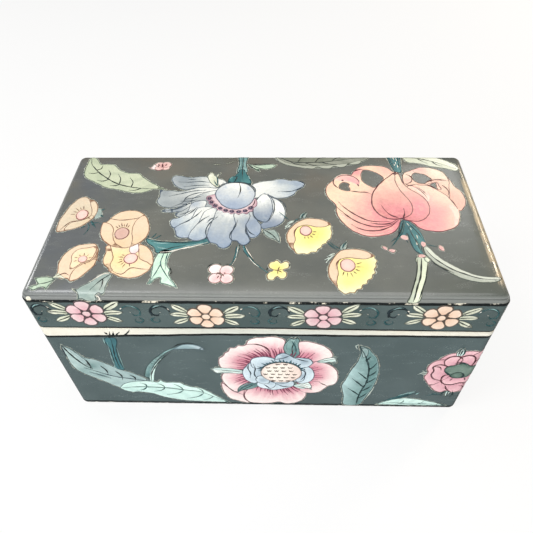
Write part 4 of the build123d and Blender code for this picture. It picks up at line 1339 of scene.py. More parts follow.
bloom.patch("82.7 43!, 79.8 41.2, 77.1 38.2, 73.6 34.7, 70.2 30.8, 67.1 26.2, 64.8 21.2, 63.5 15.8, "
    "63.2 10.5, 64.4 5.8, 66.7 1.6, 70.2 -1.5, 74.8 -2.4, 80.2 -1.5, 84 0.5, 86.7 3.9, 87.6 8.9, 87.1 13.5, "
    "85.2 18.2, 83.2 22.8, 81.7 27.4, 81.1 30.8, 81.3 37", BLOOM_HEART, "79 -2, 80 42", 4,
    washes=[(76, 6, 6, 0.6), (84, 8, 4, 0.5), (68, 10, 4, 0.3), (80, 34, 3, 0.3)])

# %% Bloom: drawn folds
bloom.strokes("42.5 35.1, 41.7 31.2, 42.8 28.2, 45.2 25.5; 50.9 23.6, 57.1 22.4, 61.7 22, 64.4 20.1; "
    "55 42.2, 57.1 43.9, 60.2 44.9, 62.5 44.4; 43.6 13.2, 46.3 8.9, 50.2 4.3, 54.8 0.1, 59.4 -3, 66 -4.2, "
    "72 -3.8; 41.7 9.3, 44.8 5.1, 48.6 0.1, 53.2 -4.2, 57.8 -6.8, 63.2 -8.4, 68.6 -8, 73.2 -6.1, 78 -2.2; "
    "60.9 -5.2, 66.3 -6.2, 71.7 -5.6, 76.8 -2.2; 57.4 28, 56.4 30.6; 49.8 -6.4, 53.2 -9.4, 59 -11.6, "
    "65 -11.4, 71 -8.8, 77.6 -2.6", PLUM, 0.62, 2)
bloom.strokes("52 -12.6, 57.8 -14.6, 63.2 -14.8, 69 -13.2, 74 -9.6; 44 4, 48 -1.6, 52 -5", BLOOM_LINE, 0.7, 2)
bloom.strokes("69 10, 70.5 5.8, 73.2 1.6, 78 -1.2; 81.7 7.4, 81.8 3.5, 80.3 -1", PLUM, 0.6, 5,
    taper=(0.7, 0.1))
bloom.stroke("82.4 42, 78 38.4, 73.6 34, 68.6 27.4, 65 20.6, 63.8 14, 63.8 8, 66.4 2.6, 71 -1", PLUM, 0.5, 5)
bloom.strokes("98.6 30.8, 100.9 32.8, 104.8 34.3, 109.4 34.3, 113.8 33.2; 108.6 29.3, 110.9 25.8, 111.5 22, "
    "110.5 19.7; 110.4 17, 112.1 13, 113.4 7; 88 40, 91 37.4, 90.6 33, 87 30; 86 31, 88.6 28.6, 92 29.4; "
    "98 30.6, 101 28.6, 105.4 24.8", PLUM, 0.55, 3)
bloom.make("lid")

# %% Bloom: stem at its head, spray and buds at its foot
stem = Motif("bloom_stem", on_lid)
stem.patch("77.4 62.9, 78.6 56, 79.4 50.5, 80.4 46, 82 42, 85.4 41.6, 86.5 46, 86.9 50.5, 87.3 56, "
    "87.9 62.9", TEAL, "82.6 62, 83.4 42", 0)
stem.strokes("79.6 60, 80.6 53, 81.8 46; 85.8 60, 85.4 52, 85 45", TEAL_LINE, 0.9, 1)
stem.strokes("82.4 58, 82.8 55; 83.4 53, 83.4 50; 84.2 57, 84.4 53.6; 82.2 51, 82.4 48.6; 84.4 50, "
    "84.2 46.6; 81 59, 81.2 57", CHALK, 0.5, 2)
stem.patch("81.6 -1.6, 78.2 -3.8, 76.6 -9.1, 74.9 -15.8, 72.3 -21.2!, 77.4 -16.4, 80 -21.6!, 80.4 -14, "
    "83.6 -28.4, 86.6 -30.6, 87.4 -24, 90 -20.6!, 89.3 -15.8, 87.7 -10.2, 84.9 -5.8", TEAL,
    "80.6 -2, 85 -29", 0, halo=False)
stem.strokes("80.4 -3, 79 -9, 76.4 -15, 72.6 -20.6; 84.6 -18, 85.6 -24, 86 -28.6", TEAL_LINE, 1.1, 0)
stem.strokes("81.6 -5, 82.6 -7.6; 83 -9, 83.4 -11; 85.6 -15, 85.8 -18; 84.4 -21, 84.6 -23", CHALK, 0.45, 2)
stem.strokes("79.6 -4, 77.4 -11, 73.4 -18.6; 82.4 -5, 86.6 -13, 88.8 -19; 81.8 -8, 84 -18, 85.6 -26", INK,
    0.45, 1)
stem.strokes("88 -21, 92 -23, 95.6 -24; 76.4 -15.6, 73.6 -19.6, 70 -24.6; 74 -17, 70.6 -20.4", TEAL_LINE,
    0.55, 0)
for outline in ("76.4 -16, 77.6 -15, 80.6 -16.4, 80 -19, 78 -18.8", "65 -24, 66.4 -23.8, 68 -25.4, "
        "67.6 -27, 65.6 -25.8", "68 -26.8, 70.4 -25.8, 72.4 -27.4, 71 -28.8, 69 -28.2", "87.6 -19.8, "
        "89.4 -20.6, 89.4 -23.4, 88 -24.6, 86.6 -22.4", "97 -22.6, 98.4 -24, 98.6 -27.4, 97.2 -27, "
        "95.8 -24.8", "84 -30.2, 86.6 -29.8, 87.8 -31.4, 85.6 -32.6, 83.6 -31.8"):
    stem.patch(outline, BUD, [middle_of(outline)], 2)
stem.make("lid")

reed = Motif("reeds", on_lid)
reed.patch("84 -31.4, 82.4 -32, 81.8 -38, 80.4 -44, 78 -51, 75.6 -57, 73.6 -62.2, 79.3 -62.2, 82.4 -54, "
    "85 -48, 87.2 -41, 88.4 -36.4, 87 -32.4", REED, "85.2 -32, 84 -39, 82.4 -46, 79.6 -53, 76.4 -62", 1,
    halo=False)
reed.stroke("85.2 -33, 84 -39, 82.4 -46, 79.6 -53, 76.6 -61.6", INK, 0.65, 2, taper=(0.1, 0.1))
reed.strokes("82.8 -33, 81.9 -39, 80.4 -45, 77.8 -52, 74.4 -61; 87.8 -36.6, 86.4 -42, 84.4 -48.6, "
    "81.8 -54.6, 79 -61.6", INK, 0.4, 2, taper=(0.1, 0.1))
reed.patch("86.5 -32.4, 88 -31.6, 89.6 -33.6, 88.6 -36, 87 -35.4", REED, "87 -32, 88 -36", 2)
reed.patch("88.4 -22.4, 90.6 -24, 93.2 -28.6, 97 -33.8, 102 -38.2, 107 -41.8, 112.4 -44.4, 118 -45.4, "
    "125 -45.6!, 122 -49, 115.6 -50, 109.2 -49.2, 103.8 -47.2, 98.2 -43.4, 93.2 -38.8, 89.8 -33.6, 87.4 -28",
    REED_FAR, "88 -25.6, 91 -31, 95 -36, 100 -40.6, 106 -44, 112 -47, 118 -48.2, 124 -47.6", 0, halo=False)
reed.stroke("88.4 -25.4, 91 -31, 95 -36, 100 -40.6, 106 -44, 112 -46.6, 118 -47.6, 123 -47.6", INK, 0.55, 1)
reed.stroke("91 -36, 95.4 -40, 100.4 -43.4", INK, 0.8, 1, taper=(0.1, 0.4))
reed.make("lid")

# %% [markdown]
# ## The band on the lid's edge
# Round the lid's upright edge runs a border: six-petalled flowers, pink and peach in turn, each with three
# ivory leaves on either side, and dark scrolls picked out with white dots between them. On the long front
# and back there are four flowers, on each end two, and they are all drawn alike, with the small differences
# of a repeated hand.

# %% One border flower and the scrolls beside it
PETAL = "2.2 -1.1, 4.4 -2.8, 6.8 -4.2, 9.2 -3.9, 10.5 -1.8, 10.8 0.6, 9.9 3.4, 7.4 4.3, 4.4 2.9, 2.2 1.1"


def border_flower(number, s, z, petals):
    flower = Motif(f"border_flower_{number}", on_wall, (s, z), hand.uniform(-4, 4), hand.uniform(0.98, 1.02))
    leaves = (
        ("9 3, 10.4 6.8, 13.2 9, 16.4 10.4, 18.6 10.6!, 18 7.4, 15.6 4.8, 12 3", "9.6 3.4, 14 7, 18 10"),
        ("9.4 1.8, 13 3.4, 17 3.4, 20.6 2!, 18.8 -0.2, 14 -0.8, 9.8 -0.6", "9.8 0.6, 15 1.4, 20 1.8"),
        ("9.2 -1.2, 13 -1.9, 17 -4, 18.8 -7!, 15.6 -7.6, 12 -6.2, 9.6 -3.6", "9.6 -2.2, 14 -4.8, 18 -6.8"))
    for mirror in (1, -1):
        for outline, bone in leaves:
            grown = hand.uniform(0.96, 1.05)
            turned_over = [(p[0] * mirror * grown, p[1] * grown, *p[2:]) for p in picked(outline)]
            spine = [(x * mirror * grown, y * grown) for x, y in picked(bone)]
            flower.patch(turned_over, IVORY, spine, 0, halo=False)
            flower.stroke(spine, INK, 0.55, 1, taper=(0.1, 0.3))
    for k in range(6):
        a = math.radians(92 - 60 * k)
        c, d = math.cos(a), math.sin(a)
        wide, long = hand.uniform(0.96, 1.06), hand.uniform(0.94, 1.06)
        shape = [(x * long, y * wide) for x, y in picked(PETAL)]
        flower.patch([(c * x - d * y, d * x + c * y) for x, y in shape], petals, [(0, 0), (c * 10, d * 10)],
            1 + k % 2, halo=False)
    flower.patch(oval(0, 0, 2.7, corners=10), petals, "0 -6", 3, halo=False)
    flower.make("lid")


def border_scroll(number, s, z, mirror, strong):
    scroll = Motif(f"border_scroll_{number}", on_wall, (s, z), hand.uniform(-6, 6), 1.0, mirror)
    dark = SCROLL if strong else TEAL_LINE
    scroll.stroke("-4.2 -1.5, -4.8 2.5, -2.8 6, 0.8 7.2, 4 5.6, 5.6 2.2", dark, 1.7 if strong else 0.9, 0,
        taper=(0.3, 0.4))
    scroll.stroke("-4.6 2.5, -3.6 -0.6, -1 -1, 0 1", dark, 0.9 if strong else 0.6, 0, taper=(0.1, 0.3))
    scroll.stroke("-3.4 5.2, -1 7.2, 1.6 7.6", GLINT, 0.5, 1)
    scroll.strokes("0.2 1.6, 0.9 2.1; 4.6 5.6, 5.5 4.3", CHALK, 0.65, 2)
    scroll.stroke("-3 -3.2, -5 -5.4, -3 -7.6, -0.4 -6.4, -1 -4.2", TEAL_LINE, 0.8, 0, taper=(0.1, 0.4))
    scroll.make("lid")


RIGHT_MIDDLE, BACK_MIDDLE, LEFT_MIDDLE = ROUND_TRIP / 4, ROUND_TRIP / 2, ROUND_TRIP * 3 / 4
flowers = [(-94.5, 103.2), (-30.4, 101.6), (32, 102.0), (93.8, 102.4), (RIGHT_MIDDLE - 29, 101.8),
    (RIGHT_MIDDLE + 30, 102.2), (BACK_MIDDLE - 95, 101.6), (BACK_MIDDLE - 31, 102.3),
    (BACK_MIDDLE + 32, 101.7), (BACK_MIDDLE + 94, 102.4), (LEFT_MIDDLE - 30, 102.1),
    (LEFT_MIDDLE + 29, 101.6)]
for number, (s, z) in enumerate(flowers):
    border_flower(number + 1, s, z, BAND_PEACH if number % 2 else BAND_PINK)
pairs = zip(flowers, flowers[1:] + flowers[:1])
gaps = [(a[0] + ((b[0] - a[0]) % ROUND_TRIP) / 2) % ROUND_TRIP for a, b in pairs]
for number, middle in enumerate(gaps):
    border_scroll(2 * number + 1, middle - 7.4, 103.2, True, False)
    border_scroll(2 * number + 2, middle + 7.4, 103.4, False, True)

# %% [markdown]
# ## The front wall
# From left to right: a folded slate-blue leaf, a mint leaf over it, a teal stem that ends in ticks on the
# bare strip, a curved blade of grass, a large peony with a seed head, a dark teal leaf, a mint leaf at the
# foot and a rose that goes round the corner. All but the ticks are used again on the walls that the
# photograph doesn't show, so their drawings are functions that can be placed anywhere.

# %% Leaves at the left of the front
def folded_leaf(name, **where):
    leaf = Motif(name, on_wall, **where)
    leaf.patch("-118.4 73.4!, -116.6 71.7, -114.3 70, -112.1 66.7, -109.9 62.8, -108.2 59.4, -103.8 57.8, "
        "-99.3 55, -96 52.2, -92.7 48.9, -88.2 45, -83.8 42.8, -79.3 38.9, -76 35.6, -71 32.4!, -81.6 30.6, "
        "-89.3 27, -94.9 23, -99.3 26.2, -102.7 30, -107.1 33.9, -111.6 37.8, -115.4 41.7, -117.7 46.1, "
        "-118.8 51.1, -119.1 56.7, -119 62.2, -119.1 67.8", SLATE_LEAF, "-74 31, -92 37, -106 46, -114 58, "
        "-118 72", washes=[(-113, 44, 5, 0.7), (-104, 38, 5, 0.6), (-106, 50, 4, 0.9), (-100, 53, 3, 0.3),
        (-109, 58, 3, 0.5), (-96, 31, 4, 0.3), (-115, 62, 3, 0.4)])
    leaf.patch("-118.4 73!, -116.6 71.4, -113.4 67.6, -110.6 62, -108.4 57, -107.6 51, -107.1 46.1!, "
        "-111 50, -114.6 57, -117 65", SLATE_LEAF, "-108 47, -112 58, -118 72", 1, halo=False,
        washes=[(-109.6, 50, 3, 0.8)])
    leaf.strokes("-118 72, -116.4 65.3, -113.7 57.6, -110.3 50.4, -107 45.8; -108.1 56.4, -107.6 52, "
        "-106.8 46.7; -101 50, -98.6 44, -98.8 38.9; -93.2 44, -90.6 38, -91 33.3; -85.1 39.4, -82.6 36, "
        "-83.2 32.2", INK, 0.75, 2, taper=(0.15, 0.5))
    leaf.strokes("-74 31.6, -84 34.4, -94 37, -101 40.6, -107 44.6, -112 47.6; -98 35, -104 39, -110 42.4; "
        "-118.6 71, -119 60", STEEL, 0.6, 2)
    leaf.patch("-90.4 80.6, -84.9 80.6, -86.6 67.8, -87.4 54.4, -87.7 45, -91.4 46.1, -91.4 56.7, "
        "-90.6 67.8", TEAL_DEEP, "-89.6 45, -88 80", 0, halo=False)
    leaf.strokes("-91.7 47, -91.7 58, -90.9 68, -90.2 76; -86.9 47, -86.6 60, -86 70", GLINT, 0.45, 1)
    leaf.strokes("-89.4 47, -89.4 60, -88 72, -87.2 80", INK, 0.5, 1)
    leaf.strokes("-92.6 47.6, -92 51; -91.6 80, -91.9 74", GLINT, 0.6, 0)
    leaf.make("base")


def mint_front_leaf(name, **where):
    leaf = Motif(name, on_wall, **where)
    leaf.patch("-95.6 22.4!, -93.8 25.6, -90.4 28.9, -86 31.1, -79.3 32.2, -72.7 32.2, -69.3 31, "
        "-66.6 34.6!, -64.9 31.4, -59.3 31.1, -54.3 30.6, -51.6 27.8, -48.2 25.6, -42.7 24.4, -38.2 20.6, "
        "-33.1 14.4, -28.7 9.4, -23.6 4.2!, -30.9 5, -42 5.6, -48.2 5.8, -57.1 7.2, -63.8 9.4, -69.3 11.7, "
        "-73.8 15, -79.3 16.9, -83.8 17.8, -88.2 17.2, -92.7 19.4", MINT_FRONT,
        "-95 22.6, -72.7 24.4, -42.7 18.4, -25 5", 2)
    leaf.strokes("-93.8 22.8, -83.8 24.4, -72.7 24.4, -61.6 23.3, -52.7 21.1, -42.7 18.9, -35.3 13.3, "
        "-25.3 5; -77.1 24.6, -77.4 27.4, -80.8 29.8; -65.4 23.8, -66.2 26.6, -69.6 29; -53.8 21.6, "
        "-55.6 25.4, -59 28.6; -41 18.4, -42 21.6, -44.6 24; -77.1 24.4, -80 21, -84.8 19.8; -65.4 23.6, "
        "-68 20.6, -73.6 18.6; -53.4 21.2, -57 17.4, -65.8 14.6; -40.6 17.6, -44.6 12.8, -53 9.6; -35 13, "
        "-38 9.6, -42 8", LEAF_LINE, 0.75, 3, taper=(0.15, 0.5))
    leaf.make("base")


def grass_blade(name, **where):
    blade = Motif(name, on_wall, **where)
    blade.patch("-76.4 38!, -74.6 44.6, -71.8 51, -67.6 57.4, -62.8 62.8, -57 67.6, -58 65, -63 59, -67 52, "
        "-70 45, -72 38, -73.6 34", TEAL_PALE, "-75 37, -69 52, -58 66.6", 1, halo=False)
    blade.patch("-73.6 34, -72 41, -69 48.6, -64 57, -59.6 62.6, -62.4 56.6, -66.4 49, -69 41.6, -70.4 35, "
        "-72 28.4!", MINT_FRONT, "-72.6 31, -68 47, -60 61", 2, halo=False)
    blade.strokes("-72.6 31, -71.4 40, -67.6 49, -61.6 58.6, -55 66.4", INK, 0.6, 3)
    blade.strokes("-62 62.6, -57 67.2, -52 71", GLINT, 0.8, 1)
    blade.patch("-54.6 68.6!, -51 72, -46.6 74.6, -42 75, -38.2 73.8, -35.2 71, -34.8 68.2!, -37.2 69, "
        "-41.6 69.8, -46.6 69.8, -51 69.2", BLADE_TIP, "-54 69, -45 73, -35 69", 1, halo=False)
    blade.strokes("-54 70.6, -49 74.6, -43 76, -38 74.8", INK, 0.6, 1)
    blade.make("base")


folded_leaf("folded_slate_leaf")
mint_front_leaf("mint_leaf_front_left")
grass_blade("grass_blade")
ticks = Motif("ticks_on_bare_strip", on_wall)
ticks.strokes("-88 80.6, -86.8 83.4, -86.4 86.8; -84.8 81.4, -82.8 84, -80.7 86.4; -78.4 83.6, -76.4 85.6, "
    "-74.6 88.6; -86.2 81, -84.8 84, -84.2 87; -88 84, -89.4 86", INK, 0.9, 0, taper=(0.1, 0.5))
ticks.make("base")

# %% Peony
def peony(name, **where):
    flower = Motif(name, on_wall, **where)
    centre = (7, 45)
    outer = [("-10.6 75.6, -9.2 79.4, -5.3 82.2, -0.3 82.9, 3.6 83.8, 8 83.2, 11.6 81.1, 12.4 75.6, 12 68, "
        "10.2 60, 0 56, -8 62", 1),
        ("-9.8 75.9, -12.4 74.2, -14.8 74.4, -17 72, -19.6 71.9, -21.4 67.8, -23.4 66.4, -24.6 63.4, "
        "-27 60.6, -28 56.7, -27.6 51.7, -25.9 47.8, -20 46.6, -8 50, 0 54, 4 60, 3.6 64, 2.6 69.4, "
        "-0.4 73.6, -4.6 75.9", 2),
        ("-24.8 44.4, -27.6 38.9, -27.2 33.3, -25.4 27.8, -22.6 22.2, -19 18.7, -16 22, -10 30, -8 38, "
        "-10 46, -18 45.4", 2),
        ("-27.6 32.4, -28.5 27.8, -28 21.1, -26.6 15.6, -23.8 10, -18.7 7, -11.6 4.6, -10 12, -10 22, "
        "-18 22", 0),
        ("-12.8 21.4, -14.4 16.7, -14.2 11.1, -11.4 5.8, -4.2 4.3, 4.7 4.9, 8 6.4, 12.4 4.4, 18.6 5, "
        "23.6 8.9, 25.8 13.3, 26.4 18.9, 23.6 24, 18 30, 6 32, -6 30", 1),
        ("28.6 19.2, 34.7 21.1, 38 25.6, 39.9 28.9, 43.7 31.1, 45.3 36.7, 45 43.3, 43.7 48.3, 40.3 53.5, "
        "34.7 57.2, 28 58.4, 22 50, 20 40, 20 30, 23 21", 2),
        ("18.6 78.2, 24.7 79.4, 29.1 77.8, 33.6 75.6, 36.9 72.2, 39.3 68.3, 40.1 63.6, 36.4 60, 30 54, "
        "20 54, 14 60, 15 70", 1)]
    stains = [(-15, 58, 6, 0.9), (-19, 36, 5, 0.4), (25, 65, 5, 0.9), (33, 50, 4, 0.6), (33, 41, 5, 0.9),
        (-20, 20, 5, 0.3)]
    for outline, level in outer:
        middle = np.array(middle_of(outline))
        flower.patch(outline, PEONY, spine_through(outline, centre, 0, 1.4), level, washes=stains)
        away = math.atan2(middle[1] - centre[1], middle[0] - centre[0])
        for k in range(-6, 7):
            a = away + k * 0.09 + hand.uniform(-0.03, 0.03)
            start = 17.5 + hand.uniform(-1, 1.5) + 2.4 * abs(math.sin(2 * a))
            long = 9.4 - abs(k) * 0.55 + hand.uniform(-1.4, 2.2)
            steps = ((start - 1, a), (start + long / 2, a + 0.02), (start + long, a + 0.06))
            spots = np.array([(centre[0] + r * math.cos(b), centre[1] + r * math.sin(b)) for r, b in steps])
            if inside(spots[1:2], [np.array([p[:2] for p in picked(outline)])])[0]:
                flower.stroke(spots.tolist(), PEONY_LINE, 0.8, 3, taper=(0.15, 0.6))
    flower.strokes("-9.6 75.7, -4.4 75.8, 0 73.6, 2.9 69.2, 3.8 62.6; -27.4 32, -24.8 26.7, -20.9 20.6, "
        "-15.3 16.1; -14 21, -14.6 15, -13.6 9, -11.2 5.6; 39 29.4, 36 31.4, 33.6 34; -14 30, -16.6 24",
        PLUM, 0.6, 3)
    leaves = [("18.8 83.8!, 16.8 81.8, 15.4 83!, 13 79.4, 11.3 75.6, 11.1 70, 13.6 65, 18 61.8, 20.8 64.4, "
        "20.4 70, 19.9 76, 20.4 80", TEAL_PALE, "17 62, 16 72, 18.6 83"),
        ("-33.6 47.9!, -29.8 49.6, -24.2 49.6, -17.6 48.5, -13.2 46.3, -13.8 42.6, -19.8 43.1, -26.4 42.8, "
        "-30.9 43.9, -32 46", SPROUT, "-13 45, -33 47.6"),
        ("30.6 57.6, 34.7 61.1, 39.1 62.8, 43.4 63.4!, 42.4 60!, 43.2 57.6, 40.8 54.4!, 39.7 57.4, "
        "35.8 56.4", SPROUT, "31 57.6, 43 62"),
        ("-18.8 18.4!, -18.1 24.4, -15.3 28.9, -10.9 32.4, -4.6 31.8, -4.6 27.4, -8.7 24, "
        "-14.2 21.8", TEAL_PALE, "-6 31, -18.4 19"),
        ("17.4 28.6, 22.4 32.6, 26.9 33.6, 29.1 30, 29.6 22.8!, 27.4 25.4, 23.6 24.6, 20.2 26", SPROUT,
        "19 29, 30 24")]
    for outline, finish, bone in leaves:
        flower.patch(outline, finish, bone, 3.5)
        flower.stroke(bone, INK, 0.42, 4)
    flower.strokes("13 78, 12.6 71, 15 66; 14.4 82, 14.6 78; 17.4 81, 18.8 76, 19 70; -16.6 26, -12 30",
        GLINT, 0.6, 4)
    flower.strokes("15.6 80, 17.8 74, 18.6 66; -29 44.6, -20 44.6; -8 30.6, -14 26.6, -17.6 21", TEAL_LINE,
        0.6, 5)
    inner = ["0.2 24.4, 4.7 22.6, 11.3 24.6, 18 28.6, 18 34, 10 36, 0 34",
        "-6 29.6, -4 35, 2.4 36, 7 31, 3.6 24.6, -2.4 25",
        "-8.7 56.2, -12.2 51.1, -14.2 45.6, -13.9 40, -11.4 34, -7.4 31, -3 34.6, -2 42, -2 52",
        "-8.9 56.9, -7.8 60.4, -3.7 62.6, 2.4 62.8, 7 60, 7 54, 0 50, -7 49.6",
        "26 52.6, 29.6 48, 30.6 42.2, 29 35.2, 23.6 31.6, 18 34, 18 44, 20 54",
        "5.6 59.6, 7 64.6, 10.8 67.2, 14.9 65.4, 17 62.8, 22.4 62.2, 27.1 60.9, 29 56.7, 26 51.6, 18 50, "
        "8 53"]
    cool = [(-11, 52, 4, 0.4), (12, 63, 5, 0.9), (24, 58, 4, 0.9), (28, 48, 3, 0.4), (-8, 36, 3, 0.4),
        (5, 25, 3, 0.3)]
    for k, outline in enumerate(inner):
        flower.patch(outline, PEONY_BLUE, spine_through(outline, (9, 44), 0.5, 1.6), 4 + k % 2, washes=cool)
    flower.strokes("-9.4 55, -10.4 50, -9 44, -9.6 38; -5 37, -6.6 42, -6 50, -7 55; 6 60, 11 61.6, "
        "15.4 65; 26 58, 22 59.6, 17 62; 7 31, 11 28, 17 28.6; 3 25, -1 30; 22 36, 24.6 42, 24 50", STEEL,
        0.6, 6)
    for outline in ("-4 41, -6.4 37, -5 32.6, -1 30.4, 2.6 32, 3 36, 0 40", "20 50, 24.4 47, 25 41, "
            "23.6 35, 19.6 33.4, 18.6 40", "3 33.6, 7 31.6, 12 31.4, 15 33.6, 10 37"):
        flower.patch(outline, PEONY_BLUE, [middle_of(outline)], 6, halo=False)
    pod_x, pod_z = 9.9, 45
    flower.patch(oval(pod_x, pod_z, 12.9, 12.2, 0, 22), POD, [(pod_x, pod_z)], 7, washes=[(18, 47, 6, 0.5),
        (17, 38, 5, 0.4)])
    for row in range(6):
        z = 35.4 + row * 3.9
        half = math.sqrt(max(0, 11.6**2 - (z - pod_z) ** 2))
        x = pod_x - half + 0.6 + (row % 2) * 2.2
        while x < pod_x + half - 2.4:
            tip = hand.uniform(-0.3, 0.3)
            bends = ((0, 0.6), (0.5, -0.6), (1.3, tip), (1.8, -0.5), (2.6, 0.5))
            flower.stroke([(x + across, z + up) for across, up in bends], DASH, 0.85, 8, taper=(0.3, 0.3))
            x += 4.5
    for k in range(19):
        a = math.radians(14 + k * 8.6)
        long = 15.2 + 1.2 * math.sin(k * 2.4)
        start = (pod_x + 12 * math.cos(a), pod_z + 11.4 * math.sin(a))
        end = (pod_x + long * math.cos(a + 0.05), pod_z + (long - 0.6) * math.sin(a + 0.05))
        flower.stroke([start, end], CREST, 0.95, 7, taper=(0.2, 0.5))
    angles = np.linspace(0.2, 2.9, 12)
    crown = [(pod_x + 12.9 * math.cos(a), pod_z + 12.3 * math.sin(a)) for a in angles]
    flower.stroke(crown, LEAF_INK, 0.7, 7)
    flower.make("base")


peony("peony_front")

# %% Teal leaf, foot leaf and rose
def teal_leaf(name, **where):
    leaf = Motif(name, on_wall, **where)
    leaf.patch("53.8 75.8!, 57.8 74.4, 60.6 72.2, 62.8 68.3, 66.1 62.8, 67.8 56.7, 69.1 51.1, 69.6 42, "
        "69.1 32.2, 68.3 25.6, 66.7 18.9, 65 12.2, 62.8 4.6, 51.1 4.6, 50.6 10, 50 17.8, 48.9 23.3, "
        "48 28.9, 48.9 34.4, 50.2 40, 51.1 45.6, 52.8 51.1, 54.4 56.7, 55.3 62.2, 55.4 68.4", TEAL_LEAF,
        "59.8 4.6, 60.8 18, 63 34, 63 48, 60 63, 54.6 75", 0, washes=[(60, 58, 4, 0.5), (61, 32, 3, 0.4),
        (59, 14, 3, 0.3)])
    leaf.patch("55 75.2, 57.4 74, 59.6 72, 60.4 68.4, 60 64, 58 62.6, 56.4 66, 55.6 70.6", SLATE_LEAF,
        "58 63, 56 74", 1, halo=False, washes=[(57.6, 68, 4, 0.7)])
    leaf.strokes("54.6 74.4, 58.4 66, 61 58, 62.8 50, 63.3 42.2, 63.3 34.4, 61.7 25.6, 60.6 17.8, 60 5",
        LEAF_INK, 0.8, 2, taper=(0.3, 0.05))
    leaf.strokes("62.8 38.2, 59.6 42.6, 56.8 46; 61.9 28.2, 57.6 34, 54 38.6; 60.9 17, 56.6 21.8, "
        "52.6 26.4; 61.9 55.7, 60 60.6, 59.6 65; 62.8 49, 65.4 53.4, 66.7 57.4; 60.4 60, 62 64; 63.4 41.2, "
        "66.4 45, 67.9 48.6; 61.4 22.4, 65 26.6, 67.4 30.6; 63.2 33, 66.2 36.4, 68.4 40; 60.4 13, "
        "63.4 16.6, 65.6 20.6", LEAF_INK, 0.85, 1, taper=(0.1, 0.5))
    leaf.strokes("53.6 76.6, 52.4 75.2, 53.4 71.6; 68.9 28, 67.4 20, 65.6 13", PALE, 0.7, 0)
    leaf.make("base")


def foot_leaf(name, **where):
    leaf = Motif(name, on_wall, **where)
    leaf.patch("73.3 4.6!, 77.8 8.9, 83.3 12.2, 88.9 14.2, 95.6 13.9, 102.2 12.2, 108.9 10, 114.4 7.8, "
        "120.4 4.4!, 98 4.2", MINT_FRONT, "74 5, 96 9, 119 5", 1)
    leaf.strokes("77 6.4, 84 7.6, 94 6.2, 108 6.6, 116 5.4; 88 6.4, 90.4 9, 90.8 11; 100 6, 103 8.6, "
        "104 10.4", LEAF_LINE, 0.55, 2)
    leaf.strokes("112 8.4, 115.6 7.2, 119 5.2", LEAF_INK, 0.8, 2)
    leaf.strokes("77.6 9.6, 84 14, 90 18, 96.6 23; 80 10.6, 86 14.2, 92 17; 84 13, 90 17.6, 97 21",
        TEAL_LINE, 1.8, 0, taper=(0.3, 0.4))
    leaf.strokes("86 17.4, 91 20.6, 96 24; 92 20, 96 22.6; 97 19, 98.6 22", GLINT, 1.0, 1, taper=(0.2, 0.6))
    leaf.strokes("104 18, 109 19.4, 114 18.6; 107 20.6, 111 21.4", TEAL_LINE, 0.7, 0)
    leaf.make("base")


